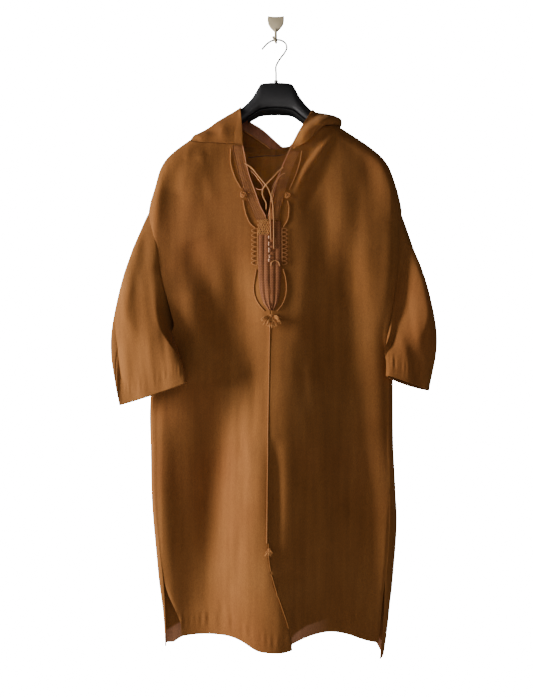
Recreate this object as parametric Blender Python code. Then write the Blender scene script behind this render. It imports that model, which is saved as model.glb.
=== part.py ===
# A hooded wool robe (a djellaba) hanging on a plastic hanger and a wall hook.
#
# Every table and size below is in millimetres. X runs to the viewer's right and Z up. "forward" is the
# distance in front of the hanger's middle plane, towards the viewer, so the wall lies behind it. The
# tables' heights count from DATUM below the origin, which is the middle of the wall plate's back.
# A place on the cloth tube is (side, turn, height). turn runs from 0 at the centre front, over 1 where
# the front starts to round off, 2 at the outermost side and 3 at the end of the rounding, to 4 at the
# centre back.

import math

import bmesh
import bpy
import numpy as np
from mathutils import Vector
from mathutils.bvhtree import BVHTree

MM = 0.001
LEFT = -1
RIGHT = 1
SIDE_NAMES = {LEFT: "left", RIGHT: "right"}

# Driving sizes
HANGER_TO_WALL = 78.0
DATUM = 24.6
WALL = 2.0
SEAM_GAP = 0.3
LOW_SEAM_GAP = 1.2
ARMHOLE_TOP_GAP = 1.5
UNDERARM_GAP = 0.6
TRIM_GAP = 0.5
SEWN_CORD_GAP = 0.8
HEM_DEPTH = 28.0
HEM_EXTRA = 1.0
HEM_STEP = 1.5
CUFF_DEPTH = 18.0
SLEEVE_LENGTH = 400.0
SLIT_BOTTOM = -430.0
ARMHOLE_TOP = -411.0
UNDERARM = {LEFT: -672.0, RIGHT: -690.0}
UNDERARM_MIDDLE = -690.0
VENT_TOP = -1218.0
BAND_WIDTH = 24.0
BAND_THICK = 1.4
BAND_TOP = -3.0
BAND_BOTTOM = -434.0
BAND_INSET = 0.6
BAND_GROOVE = 1.05
BAND_ROWS = 12
BAND_SHARES = (0, 0.12, 0.5, 0.88, 1)
RIB_HEIGHT = 1.3
LOOP_HEIGHT = 1.0
CORD_RADIUS = 1.1
LACE_RADIUS = 1.2
STEEL_RADIUS = 2.0
ARM_RADIUS = 3.0

# Spacing of the points along the cords and wires
CORD_SPACING = 9.0
LACE_SPACING = 7.0
STEEL_SPACING = 7.5
ARM_SPACING = 6.0

# Numbers of faces along the cloth
TOP_ROWS = 8
ARM_ROW_SHARES = (0, 0.08, 0.19, 0.32, 0.46, 0.6, 0.73, 0.84, 0.92, 0.965, 1)
ARM_ROWS = len(ARM_ROW_SHARES) - 1
BODY_ROWS = 9
HEM_ROWS = 2
FRONT_COLUMNS = 12
ROUND_COLUMNS = 3
BACK_COLUMNS = 7
SLEEVE_RINGS = 9
UNDERSIDE_SPREAD = 0.7
NORMAL_STEP_TURN = 0.02
NORMAL_STEP_HEIGHT = 2.0


def smooth_tangents(stations, values, flat_ends):
    """Slopes at the stations for a curve that never overshoots its values."""
    steps = np.diff(stations)[:, None]
    slopes = np.diff(values, axis=0) / steps
    tangents = np.zeros_like(values)
    if not flat_ends:
        tangents[0] = slopes[0]
        tangents[-1] = slopes[-1]
    before = slopes[:-1]
    after = slopes[1:]
    same_way = before * after > 0
    weight_before = 2 * steps[1:] + steps[:-1]
    weight_after = steps[1:] + 2 * steps[:-1]
    safe_before = np.where(same_way, before, 1.0)
    safe_after = np.where(same_way, after, 1.0)
    mean = (weight_before + weight_after) / (weight_before / safe_before + weight_after / safe_after)
    tangents[1:-1] = np.where(same_way, mean, 0.0)
    return tangents


def hermite(stations, values, tangents, at):
    """Value at a place on the cubic curve with these tangents."""
    at = min(max(at, stations[0]), stations[-1])
    k = int(np.clip(np.searchsorted(stations, at) - 1, 0, len(stations) - 2))
    step = stations[k + 1] - stations[k]
    t = (at - stations[k]) / step
    start = (2 * t**3 - 3 * t**2 + 1) * values[k] + (t**3 - 2 * t**2 + t) * step * tangents[k]
    end = (3 * t**2 - 2 * t**3) * values[k + 1] + (t**3 - t**2) * step * tangents[k + 1]
    return start + end


class Table:
    """Rows of named columns, read at any value of the first column along smooth curves."""

    def __init__(self, names, rows):
        data = np.array(sorted(rows), dtype=float)
        self.names = names.split()[1:]
        self.stations = data[:, 0]
        self.values = data[:, 1:]
        self.tangents = smooth_tangents(self.stations, self.values, False)

    def read(self, at):
        return hermite(self.stations, self.values, self.tangents, at)

    def at(self, at):
        return dict(zip(self.names, self.read(at)))


# The two ends of the flattened tube. edge_x is the outline in front view, round_x and round_f the
# half axes of its rounding, mid_f how far forward it lies. The front piece ends at front_stop and the
# back piece starts at back_start.
END_NAMES = "z edge_x round_x mid_f round_f front_stop back_start"
ENDS = {
    LEFT: Table(END_NAMES, [
        (-245, -178, 40, 0, 25, 2.0, 2.0),
        (-264, -205, 42, 0, 25, 2.0, 2.0),
        (-288, -237, 38, 0, 25, 2.0, 2.0),
        (-322, -257, 27, 0, 24, 2.0, 2.0),
        (-354, -265, 24, 0, 23, 2.0, 2.0),
        (-411, -280, 22, 2, 21, 2.0, 2.0),
        (-441, -280, 24, 3, 21, 1.45, 2.45),
        (-541, -277, 28, 3, 23, 1.08, 2.7),
        (-606, -268, 32, 3, 23, 1.0, 2.5),
        (-640, -262, 36, 2, 23, 1.02, 2.1),
        (-660, -258, 38, 1, 22, 1.05, 1.6),
        (-672, -258, 36, 0, 21, 1.12, 1.12),
        (-704, -261, 32, -2, 18, 1.2, 1.2),
        (-740, -266, 26, -4, 14, 1.3, 1.3),
        (-836, -281, 20, -4, 12, 1.35, 1.35),
        (-902, -277, 18, -2, 12, 1.3, 1.3),
        (-1045, -274, 15, 0, 12, 1.25, 1.25),
        (-1144, -265, 14, 0, 11, 1.15, 1.15),
        (-1218, -259, 15, 0, 10, 1.05, 1.05),
        (-1290, -249, 13, 0, 9, 0.94, 1.35),
        (-1341, -245, 12, 0, 9, 0.90, 1.6),
        (-1366, -245, 12, 0, 9, 0.90, 1.7),
    ]),
    RIGHT: Table(END_NAMES, [
        (-215, 125, 38, 0, 25, 2.0, 2.0),
        (-230, 147, 40, 0, 25, 2.0, 2.0),
        (-264, 201, 40, 0, 25, 2.0, 2.0),
        (-290, 231, 35, 0, 25, 2.0, 2.0),
        (-305, 244, 31, 0, 24, 2.0, 2.0),
        (-334, 255, 25, 0, 23, 2.0, 2.0),
        (-374, 268, 23, 1, 22, 2.0, 2.0),
        (-411, 276, 22, 2, 21, 2.0, 2.0),
        (-441, 277, 24, 3, 21, 1.5, 2.4),
        (-519, 277, 26, 3, 22, 1.38, 2.6),
        (-600, 272, 29, 3, 21, 1.31, 2.5),
        (-655, 265, 30, 1, 20, 1.25, 2.1),
        (-678, 261, 30, -1, 19, 1.22, 1.6),
        (-690, 260, 30, -2, 18, 1.24, 1.24),
        (-767, 258, 18, -6, 9, 1.3, 1.3),
        (-840, 258, 18, -5, 10, 1.3, 1.3),
        (-902, 258, 18, -2, 12, 1.2, 1.2),
        (-1045, 265, 18, 0, 12, 1.02, 1.02),
        (-1108, 266, 20, 0, 11, 1.0, 1.0),
        (-1174, 260, 18, 0, 11, 1.0, 1.0),
        (-1218, 256, 18, 0, 11, 1.0, 1.0),
        (-1290, 250, 16, 0, 10, 0.98, 1.05),
        (-1348, 242, 14, 4, 10, 0.98, 1.15),
        (-1390, 235, 12, 10, 10, 0.98, 1.2),
    ]),
}

# The front's profile: how far forward its main folds stand, from the left ridge below the shoulder
# over the crest at the centre to the right ridge.
FRONT_NAMES = ("z ridge_l_x ridge_l_f valley_l_x valley_l_f crest_x crest_f slope_x slope_f"
               " valley_r_x valley_r_f ridge_r_x ridge_r_f")
FRONT = Table(FRONT_NAMES, [
    (-215, -115, 26, -90, 26, 0, 27, 30, 27, 60, 26, 80, 25),
    (-281, -140, 27, -105, 26, -20, 29, 40, 30, 90, 27, 140, 27),
    (-340, -185, 33, -140, 27, -22, 32, 28, 36, 90, 29, 165, 34),
    (-450, -185, 39, -130, 28, -19, 37, 45, 42, 115, 30, 180, 41),
    (-600, -170, 38, -82, 20, -13, 48, 55, 45, 150, 18, 205, 34),
    (-720, -180, 28, -85, 16, -11, 54, 45, 48, 155, 14, 208, 24),
    (-800, -215, 18, -100, 13, -12, 58, 55, 47, 160, 13, 212, 18),
    (-900, -232, 20, -130, 12, -15, 63, 70, 46, 168, 14, 222, 20),
    (-1080, -243, 20, -160, 10, -18, 70, 90, 42, 200, 8, 236, 14),
    (-1220, -232, 17, -165, 12, -19, 75, 90, 42, 188, 8, 228, 14),
    (-1345, -205, 15, -160, 14, -18, 78, 60, 54, 120, 16, 205, 26),
])

# The back's profile at fixed shares of its width: soft folds that fall from the shoulders.
BACK_SHARES = (0.12, 0.32, 0.5, 0.7, 0.88)
BACK = Table("z share_1 share_2 share_3 share_4 share_5", [
    (-215, -26, -26, -27, -26, -26),
    (-285, -26, -27, -28, -27, -26),
    (-450, -28, -31, -27, -31, -28),
    (-700, -24, -37, -27, -36, -25),
    (-1000, -20, -42, -26, -41, -22),
    (-1345, -18, -46, -25, -44, -24),
])

# The centre-front seam, and the two edges of the neck slit above it
SEAM = Table("z x", [
    (-430, -19), (-560, -14), (-668, -11), (-865, -14.6), (-1141, -17.8), (-1205, -9.3),
    (-1248, 7.7), (-1290, 22.6), (-1361, 36),
])
SLIT_EDGE = {
    LEFT: Table("z x", [(-268, -72), (-335, -57), (-407, -31), (-430, -19)]),
    RIGHT: Table("z x", [
        (-226, 62), (-240, 50.6), (-281, 27.8), (-322, 9.8), (-365, -4), (-407, -14.5), (-430, -19),
    ]),
}

# Height of the neckline and of the hem, by turn
TOP_EDGE = {
    LEFT: Table("turn z", [
        (0, -268), (0.75, -264), (1.2, -262), (2, -253), (3, -264), (3.5, -274), (4, -285),
    ]),
    RIGHT: Table("turn z", [
        (0, -281), (0.18, -268), (0.3, -257), (0.47, -241), (0.8, -231), (1, -227.5), (1.5, -224.5),
        (2, -226), (3, -244), (3.5, -262), (4, -285),
    ]),
}
HEM_EDGE = {
    LEFT: Table("turn z", [
        (0, -1356), (0.06, -1360), (0.2, -1359), (0.31, -1356), (0.37, -1344), (0.49, -1334), (0.75, -1336),
        (0.9, -1341), (1.6, -1366), (2.4, -1354), (3, -1346), (4, -1342),
    ]),
    RIGHT: Table("turn z", [
        (0, -1343), (0.24, -1330), (0.37, -1329.5), (0.59, -1334), (0.81, -1346), (0.98, -1355), (1.2, -1390),
        (2, -1376), (3, -1348), (4, -1342),
    ]),
}

# Sleeve rings between the armhole and the cuff: the two ends of the flattened tube in front view, and
# how far the ring sags below the straight line between them
SLEEVE_NAMES = "share outer_x outer_f outer_z inner_x inner_f inner_z half_depth sag"
SLEEVES = {
    LEFT: Table(SLEEVE_NAMES, [
        (0.3, -338, 18, -560, -214, 42, -710, 13, 36),
        (0.64, -364, 16, -700, -200, 50, -748, 16, 14),
        (1.0, -341, 18, -836, -190, 52, -784, 13, 2),
    ]),
    RIGHT: Table(SLEEVE_NAMES, [
        (0.3, 326, 2, -565, 234, 42, -720, 18, 36),
        (0.64, 352, -8, -695, 238, 47, -742, 20, 12),
        (1.0, 341, -16, -806, 237, 48, -770, 22, 2),
    ]),
}

# The hood, from the front corner of the neck slit (share 0) round the neckline to the centre back
# (share 1). At each share the cloth rises from the neck seam over roll and drop to the fold at the
# bottom of the pouch, then up over rise to the rim.
HOOD_NAMES = ("share roll_x roll_f roll_z drop_x drop_f drop_z fold_x fold_f fold_z"
              " rise_x rise_f rise_z rim_x rim_f rim_z")
HOODS = {
    LEFT: Table(HOOD_NAMES, [
        (0.00, -73, 31, -250, -74, 31, -232, -75.5, 30, -215, -77.5, 26, -199, -79, 13, -186),
        (0.14, -117, 30, -250, -112, 28, -232, -104, 22, -212, -94, 10, -199, -78, -8, -183),
        (0.27, -158, 26, -248, -148, 17, -232, -132, 2, -215, -108, -14, -201, -74, -26, -188),
        (0.39, -184, -5, -243, -170, -15, -237, -150, -28, -232, -114, -42, -216, -68, -44, -194),
        (0.46, -179, -25, -247, -173, -31, -244, -160, -41, -240, -118, -53, -226, -64, -49, -197),
        (0.50, -168, -31, -251, -165, -36, -249, -157, -47, -248, -116, -58, -237, -60, -53, -199),
        (0.54, -155, -33, -254, -153, -40, -260, -149, -52, -270, -110, -62, -252, -54, -57, -203),
        (0.62, -128, -35, -257, -127, -42, -288, -123, -52, -330, -90, -62, -288, -46, -60, -207),
        (0.70, -100, -35, -260, -97, -42, -322, -91, -52, -420, -66, -62, -332, -36, -61, -213),
        (0.86, -46, -35, -265, -44, -42, -370, -38, -52, -512, -29, -62, -370, -16, -62, -229),
        (1.00, 0, -35, -269, 0, -42, -400, 0, -52, -560, 0, -62, -400, 0, -63, -244),
    ]),
    RIGHT: Table(HOOD_NAMES, [
        (0.00, 35, 31, -266, 44, 31, -248, 54, 30, -231, 66, 26, -212, 80, 13, -194),
        (0.12, 66, 38, -268, 72, 42, -252, 78, 36, -228, 82, 18, -205, 84, 0, -191),
        (0.20, 82, 36, -250, 88, 41, -238, 90, 36, -220, 90, 18, -202, 88, -8, -190),
        (0.30, 107, 33, -228, 112, 36, -218, 114, 28, -206, 110, 8, -197, 92, -18, -189),
        (0.40, 132, 22, -219, 134, 20, -209, 130, 6, -201, 116, -12, -198, 91, -28, -192),
        (0.47, 146, 0, -218, 146, -4, -209, 140, -18, -205, 120, -32, -204, 88, -38, -196),
        (0.53, 142, -24, -224, 140, -30, -219, 134, -38, -215, 116, -46, -212, 84, -45, -198),
        (0.57, 134, -32, -230, 132, -38, -229, 128, -48, -228, 108, -58, -222, 76, -51, -202),
        (0.62, 120, -34, -236, 120, -41, -250, 117, -52, -272, 96, -62, -245, 67, -57, -210),
        (0.68, 101, -35, -243, 101, -42, -282, 98, -52, -335, 78, -62, -284, 56, -61, -223),
        (0.76, 75, -35, -252, 76, -42, -318, 73, -52, -412, 58, -62, -328, 44, -62, -240),
        (0.88, 36, -35, -264, 37, -42, -370, 34, -52, -505, 28, -62, -375, 22, -62, -259),
        (1.00, 0, -35, -269, 0, -42, -400, 0, -52, -560, 0, -62, -400, 0, -63, -244),
    ]),
}
HOOD_STEPS = (1.0, 1.35, 2.0, 2.5, 3.0, 4.0, 5.0, 5.5, 6.0)
HOOD_RIM = 7.0
LARGEST_RIM_SHARE = 0.6
FOLD_RADIUS = 8.0
RIM_ROW = 27.0
BEHIND_HANGER = 15
HANGER_CLEARANCE = 5.0

# The hanger, as sections across it
HANGER = Table("x top bottom half_thick", [
    (-250, -327, -334, 5), (-247, -317, -337, 13), (-236, -296, -327, 19), (-189, -260.5, -291, 20.5),
    (-139, -224, -255, 20.5), (-79, -186, -221, 20.5), (-66, -175, -211, 20.5), (-51, -158, -201, 20),
    (-40, -139, -193, 19.5), (-33, -128, -189, 19), (0, -125.5, -183, 19), (34, -128, -189, 19),
    (42, -139, -194, 19.5), (52, -158, -203, 20), (66, -176, -214, 20.5), (79, -190, -224, 20.5),
    (145, -234, -264, 20.5), (200, -271, -301, 20), (236, -306, -335, 18), (245, -322, -342, 13),
    (248, -333, -340, 5),
])
HANGER_SECTIONS = (
    -250, -247, -236, -213, -189, -164, -139, -109, -79, -66, -58, -51, -45, -40, -36, -33, -20, 0, 20, 34,
    38, 42, 47, 52, 58, 66, 79, 112, 145, 172, 200, 220, 236, 245, 248,
)
HANGER_SIDES = 14
CROWN_SHARE = 0.75


def place(x, forward, z):
    """A point of the robe's own frame, in millimetres."""
    return np.array([x, -(HANGER_TO_WALL + forward), z - DATUM])


def blend(a, b, t):
    return a + (b - a) * t


def unit(vector):
    return vector / np.linalg.norm(vector)


def end_row(side, z):
    row = ENDS[side].at(z)
    row["turn_x"] = row["edge_x"] - side * row["round_x"]
    return row


def centre_x(side, z):
    if z > SLIT_BOTTOM:
        return SLIT_EDGE[side].read(z)[0] + side * SEAM_GAP / 2
    gap = SEAM_GAP if z > VENT_TOP - 1 else LOW_SEAM_GAP
    return SEAM.read(z)[0] + side * gap / 2


def front_forward(x, z):
    """How far forward the front stands at a place in front view."""
    left = end_row(LEFT, z)
    right = end_row(RIGHT, z)
    row = FRONT.read(z)
    stations = np.concatenate(([left["turn_x"]], row[0::2], [right["turn_x"]]))
    ends = [[side_row["mid_f"] + side_row["round_f"]] for side_row in (left, right)]
    heights = np.concatenate((ends[0], row[1::2], ends[1]))[:, None]
    return hermite(stations, heights, smooth_tangents(stations, heights, True), x)[0]


def back_forward(x, z):
    left = end_row(LEFT, z)
    right = end_row(RIGHT, z)
    width = right["turn_x"] - left["turn_x"]
    shares = [left["turn_x"] + share * width for share in BACK_SHARES]
    stations = np.array([left["turn_x"], *shares, right["turn_x"]])
    ends = (left["mid_f"] - left["round_f"], right["mid_f"] - right["round_f"])
    heights = np.array([ends[0], *BACK.read(z), ends[1]])[:, None]
    return hermite(stations, heights, smooth_tangents(stations, heights, True), x)[0]


def cloth_point(side, turn, z):
    """A point on the outside of the body's cloth."""
    row = end_row(side, z)
    if turn <= 1:
        x = blend(centre_x(side, z), row["turn_x"], turn)
        return place(x, front_forward(x, z), z)
    if turn >= 3:
        x = row["turn_x"] * (4 - turn)
        return place(x, back_forward(x, z), z)
    angle = math.radians(90 * (2 - turn))
    x = row["edge_x"] - side * row["round_x"] * (1 - math.cos(angle))
    return place(x, row["mid_f"] + row["round_f"] * math.sin(angle), z)


def cloth_normal(side, turn, z):
    """The direction straight out of the body's cloth."""
    low = max(turn - NORMAL_STEP_TURN, 0.0)
    high = min(turn + NORMAL_STEP_TURN, 4.0)
    along = cloth_point(side, high, z) - cloth_point(side, low, z)
    up = cloth_point(side, turn, z + NORMAL_STEP_HEIGHT) - cloth_point(side, turn, z - NORMAL_STEP_HEIGHT)
    return unit(side * np.cross(along, up))


def turn_step(side, turn, z, distance):
    """The change of turn that moves a point this far round the cloth."""
    low = max(turn - NORMAL_STEP_TURN, 0.0)
    high = min(turn + NORMAL_STEP_TURN, 4.0)
    length = np.linalg.norm(cloth_point(side, high, z) - cloth_point(side, low, z))
    return distance * (high - low) / length


def side_levels(side):
    """Heights of the rows at the side and at the centre, from the armhole's top to the vent's top."""
    rows = []
    for share in ARM_ROW_SHARES:
        side_z = blend(ARMHOLE_TOP, UNDERARM[side], share)
        rows.append((side_z, blend(SLIT_BOTTOM, UNDERARM_MIDDLE, share)))
    for k in range(1, BODY_ROWS + 1):
        share = k / BODY_ROWS
        rows.append((blend(UNDERARM[side], VENT_TOP, share), blend(UNDERARM_MIDDLE, VENT_TOP, share)))
    return rows


LEVELS = {side: side_levels(side) for side in (LEFT, RIGHT)}
LAST_LEVEL = TOP_ROWS + ARM_ROWS + BODY_ROWS
ROW_COUNT = LAST_LEVEL + HEM_ROWS + 4
HEM_STEP_ROW = ROW_COUNT - 2


def row_height(side, turn, row):
    """Height of a row of the cloth at a turn: it follows the neckline at the top and the hem below."""
    if row < TOP_ROWS:
        side_z, middle_z = LEVELS[side][0]
        below = blend(side_z, middle_z, abs(turn - 2) / 2)
        return blend(TOP_EDGE[side].read(turn)[0], below, row / TOP_ROWS)
    if row <= LAST_LEVEL:
        side_z, middle_z = LEVELS[side][row - TOP_ROWS]
        return blend(side_z, middle_z, abs(turn - 2) / 2)
    hem = HEM_EDGE[side].read(turn)[0]
    turned_up = hem + HEM_DEPTH
    past = row - LAST_LEVEL
    if past <= HEM_ROWS:
        return blend(VENT_TOP, turned_up, past / (HEM_ROWS + 1))
    return (turned_up + HEM_STEP, turned_up, hem)[past - HEM_ROWS - 1]


def row_side_height(side, row):
    """The height at the side that the front's and back's ends are read at."""
    return row_height(side, 2.0, row)


def front_end(side, row):
    stop = ENDS[side].at(row_side_height(side, row))["front_stop"]
    z = row_height(side, stop, row)
    return stop - turn_step(side, stop, z, SEAM_GAP / 2)


def back_end(side, row):
    start = ENDS[side].at(row_side_height(side, row))["back_start"]
    z = row_height(side, start, row)
    return start + turn_step(side, start, z, SEAM_GAP / 2)


def wall_depth(row):
    return WALL + (HEM_EXTRA if row >= HEM_STEP_ROW else 0.0)


def cloth_pair(side, turn, row):
    """The outer and inner points of the wall at a place on a row."""
    z = row_height(side, turn, row)
    outer = cloth_point(side, turn, z)
    return outer, outer - cloth_normal(side, turn, z) * wall_depth(row)


def front_turns(side, row):
    stop = front_end(side, row)
    flat = min(1.0, stop - 0.03)
    turns = [flat * k / FRONT_COLUMNS for k in range(FRONT_COLUMNS + 1)]
    turns += [blend(flat, stop, k / ROUND_COLUMNS) for k in range(1, ROUND_COLUMNS + 1)]
    return turns


def back_turns(side, row):
    start = back_end(side, row)
    round_end = 3.0
    turns = [blend(start, round_end, k / (ROUND_COLUMNS + 1)) for k in range(ROUND_COLUMNS + 1)]
    turns += [blend(round_end, 4.0, k / BACK_COLUMNS) for k in range(BACK_COLUMNS + 1)]
    return turns


def material(name, colour, roughness, metallic=0.0):
    made = bpy.data.materials.get(name)
    if made is None:
        made = bpy.data.materials.new(name)
        made.use_nodes = True
        shader = made.node_tree.nodes["Principled BSDF"]
        shader.inputs["Base Color"].default_value = (*colour, 1.0)
        shader.inputs["Roughness"].default_value = roughness
        shader.inputs["Metallic"].default_value = metallic
    return made


def wool():
    return material("brown_wool", (0.30, 0.13, 0.045), 0.9)


def braid():
    return material("brown_braid", (0.26, 0.10, 0.04), 0.8)


def cord_thread():
    return material("light_brown_cord", (0.50, 0.26, 0.13), 0.7)


def black_plastic():
    return material("charcoal_plastic", (0.03, 0.03, 0.032), 0.45)


def steel():
    return material("plated_steel", (0.55, 0.56, 0.58), 0.3, 1.0)


def cream_plastic():
    return material("cream_plastic", (0.82, 0.70, 0.48), 0.5)


def finish_mesh(name, bm, surface, sharp_angle=50.0):
    """Turns the faces out and puts the mesh in the scene as an object of its own."""
    bmesh.ops.recalc_face_normals(bm, faces=bm.faces)
    if bm.calc_volume(signed=True) < 0:
        bmesh.ops.reverse_faces(bm, faces=bm.faces)
    mesh = bpy.data.meshes.new(name)
    bm.to_mesh(mesh)
    bm.free()
    mesh.shade_smooth()
    mesh.set_sharp_from_angle(angle=math.radians(sharp_angle))
    made = bpy.data.objects.new(name, mesh)
    made.data.materials.append(surface)
    bpy.data.collections["hooded_robe"].objects.link(made)
    return made


def add_grid(bm, grid):
    return [[bm.verts.new(point * MM) for point in row] for row in grid]


def sew(bm, a, b, c, d):
    bm.faces.new((a, b, c, d))


def cloth_wall(name, outer, inner, surface, closed=False):
    """A closed wall between two grids of points. A closed one runs round as a tube, open at its ends."""
    bm = bmesh.new()
    out = add_grid(bm, outer)
    inn = add_grid(bm, inner)
    rows = len(out)
    columns = len(out[0])
    spans = columns if closed else columns - 1
    for j in range(rows - 1):
        for i in range(spans):
            n = (i + 1) % columns
            sew(bm, out[j][i], out[j][n], out[j + 1][n], out[j + 1][i])
            sew(bm, inn[j][i], inn[j + 1][i], inn[j + 1][n], inn[j][n])
    for i in range(spans):
        n = (i + 1) % columns
        sew(bm, out[0][i], inn[0][i], inn[0][n], out[0][n])
        sew(bm, out[-1][i], out[-1][n], inn[-1][n], inn[-1][i])
    if not closed:
        for j in range(rows - 1):
            sew(bm, out[j][0], out[j + 1][0], inn[j + 1][0], inn[j][0])
            sew(bm, out[j][-1], inn[j][-1], inn[j + 1][-1], out[j + 1][-1])
    return finish_mesh(name, bm, surface)


def tangent(before, here, after):
    """The way along a line of points at one of them; before or after is None at an end."""
    if before is None:
        return unit(after - here)
    if after is None:
        return unit(here - before)
    return unit(unit(after - here) + unit(here - before))


def grid_normals(grid, closed, way):
    """Directions out of a grid of points, from its own neighbours."""
    rows = len(grid)
    columns = len(grid[0])
    normals = []
    for j in range(rows):
        line = []
        for i in range(columns):
            here = grid[j][i]
            above = grid[j - 1][i] if j > 0 else None
            below = grid[j + 1][i] if j < rows - 1 else None
            behind = grid[j][i - 1] if closed or i > 0 else None
            ahead = grid[j][(i + 1) % columns] if closed or i < columns - 1 else None
            line.append(unit(way * np.cross(tangent(behind, here, ahead), tangent(above, here, below))))
        normals.append(line)
    return normals


def lean(seam_normal, own_normal, leaving):
    """The way out of the wall at a seam: as the piece it is sewn to, but halfway where it folds outward."""
    if np.dot(seam_normal, leaving) > 0:
        return unit(seam_normal + own_normal)
    return seam_normal


def make_front(side):
    outer = []
    inner = []
    for row in range(ROW_COUNT):
        pairs = [cloth_pair(side, turn, row) for turn in front_turns(side, row)]
        outer.append([pair[0] for pair in pairs])
        inner.append([pair[1] for pair in pairs])
    cloth_wall("front_" + SIDE_NAMES[side], outer, inner, wool())


def make_back():
    outer = []
    inner = []
    for row in range(ROW_COUNT):
        left = [cloth_pair(LEFT, turn, row) for turn in back_turns(LEFT, row)]
        right = [cloth_pair(RIGHT, turn, row) for turn in back_turns(RIGHT, row)]
        pairs = left + right[-2::-1]
        outer.append([pair[0] for pair in pairs])
        inner.append([pair[1] for pair in pairs])
    cloth_wall("back", outer, inner, wool())


def armhole_ring(side):
    """The sleeve's first ring: the armhole's edge, a seam's gap away from it."""
    top = TOP_ROWS
    bottom = TOP_ROWS + ARM_ROWS
    places = [(2.0, row_height(side, 2.0, top) - ARMHOLE_TOP_GAP)]
    for row in range(top + 1, bottom):
        turn = front_end(side, row)
        z = row_height(side, turn, row)
        places.append((turn + turn_step(side, turn, z, SEAM_GAP), z))
    low = ENDS[side].at(UNDERARM[side])["front_stop"]
    places.append((low, row_height(side, low, bottom) + UNDERARM_GAP))
    for row in range(bottom - 1, top, -1):
        turn = back_end(side, row)
        z = row_height(side, turn, row)
        places.append((turn - turn_step(side, turn, z, SEAM_GAP), z))
    outer = [cloth_point(side, turn, z) for turn, z in places]
    normals = [cloth_normal(side, turn, z) for turn, z in places]
    return outer, normals


def sleeve_ring(side, share, count):
    """A flattened ring of the sleeve, from its outer end over the front."""
    row = SLEEVES[side].at(share)
    outer_end = place(row["outer_x"], row["outer_f"], row["outer_z"])
    inner_end = place(row["inner_x"], row["inner_f"], row["inner_z"])
    middle = (outer_end + inner_end) / 2
    half = (inner_end - outer_end) / 2
    front = unit(np.array([half[1], -half[0], 0.0]) * -side)
    below = unit(np.array([-half[2], 0.0, half[0]]) * side)
    ring = []
    for k in range(count):
        turn = 2 * k / count
        if turn > 1:
            turn = 1 + (turn - 1) ** UNDERSIDE_SPREAD
        angle = math.pi * turn
        point = middle - half * math.cos(angle) + front * row["half_depth"] * math.sin(angle)
        ring.append(point + below * row["sag"] * math.sin(angle) ** 2)
    return ring


def make_sleeve(side):
    first, first_normals = armhole_ring(side)
    count = len(first)
    stations = np.array([0.0, *SLEEVES[side].stations])
    rings = [first] + [sleeve_ring(side, share, count) for share in stations[1:]]
    columns = [np.array([ring[k] for ring in rings]) for k in range(count)]
    tangents = [smooth_tangents(stations, column, False) for column in columns]
    cuff_share = 1.0 - CUFF_DEPTH / SLEEVE_LENGTH
    step_share = cuff_share + HEM_STEP / SLEEVE_LENGTH
    shares = [k / SLEEVE_RINGS * cuff_share for k in range(SLEEVE_RINGS + 1)] + [step_share, 1.0]
    outer = []
    for share in shares:
        outer.append([hermite(stations, columns[k], tangents[k], share) for k in range(count)])
    normals = grid_normals(outer, True, side)
    normals[0] = [lean(first_normals[k], normals[0][k], outer[1][k] - outer[0][k]) for k in range(count)]
    inner = []
    for j, line in enumerate(outer):
        depth = WALL + (HEM_EXTRA if j >= len(outer) - 2 else 0.0)
        inner.append([point - normals[j][k] * depth for k, point in enumerate(line)])
    cloth_wall("sleeve_" + SIDE_NAMES[side], outer, inner, wool(), closed=True)


def neckline(side):
    """The neck edge from the slit's corner to the centre back: points a seam's gap above it, and normals."""
    turns = front_turns(side, 0)[:-1] + [2.0] + back_turns(side, 0)[1:]
    points = []
    normals = []
    for turn in turns:
        z = row_height(side, turn, 0)
        edge = cloth_point(side, turn, z)
        down = cloth_point(side, turn, z - 2 * NORMAL_STEP_HEIGHT) - edge
        points.append(edge - unit(down) * SEAM_GAP)
        normals.append(cloth_normal(side, turn, z))
    return points, normals


def spline(points):
    """A smooth curve through points, read at a whole number for each point and between them."""
    points = np.array(points)
    gaps = np.linalg.norm(np.diff(points, axis=0), axis=1)
    lengths = np.concatenate(([0.0], np.cumsum(gaps)))
    tangents = np.zeros_like(points)
    tangents[1:-1] = (points[2:] - points[:-2]) / (lengths[2:] - lengths[:-2])[:, None]
    tangents[0] = (points[1] - points[0]) / gaps[0]
    tangents[-1] = (points[-1] - points[-2]) / gaps[-1]
    numbers = np.arange(len(points))

    def at(number):
        return hermite(lengths, points, tangents, np.interp(number, numbers, lengths))

    return at, lengths[-1]


def hanger_row(x):
    row = HANGER.at(x)
    height = row["top"] - row["bottom"]
    row["crown"] = height * CROWN_SHARE
    row["middle"] = row["top"] - row["crown"]
    return row


def clear_of_hanger(point, gap):
    """Moves a point of the cloth out to this gap from the hanger, where it would lie inside that."""
    x, y, z = point
    z += DATUM
    if abs(x) > HANGER_SECTIONS[-1]:
        return point
    row = hanger_row(x)
    forward = -y - HANGER_TO_WALL
    reach_f = row["half_thick"] + gap
    reach_z = row["crown"] + gap
    share = math.hypot(forward / reach_f, (z - row["middle"]) / reach_z)
    if z < row["middle"] or share >= 1 or share == 0:
        return point
    return place(x, forward / share, row["middle"] + (z - row["middle"]) / share)


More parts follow.
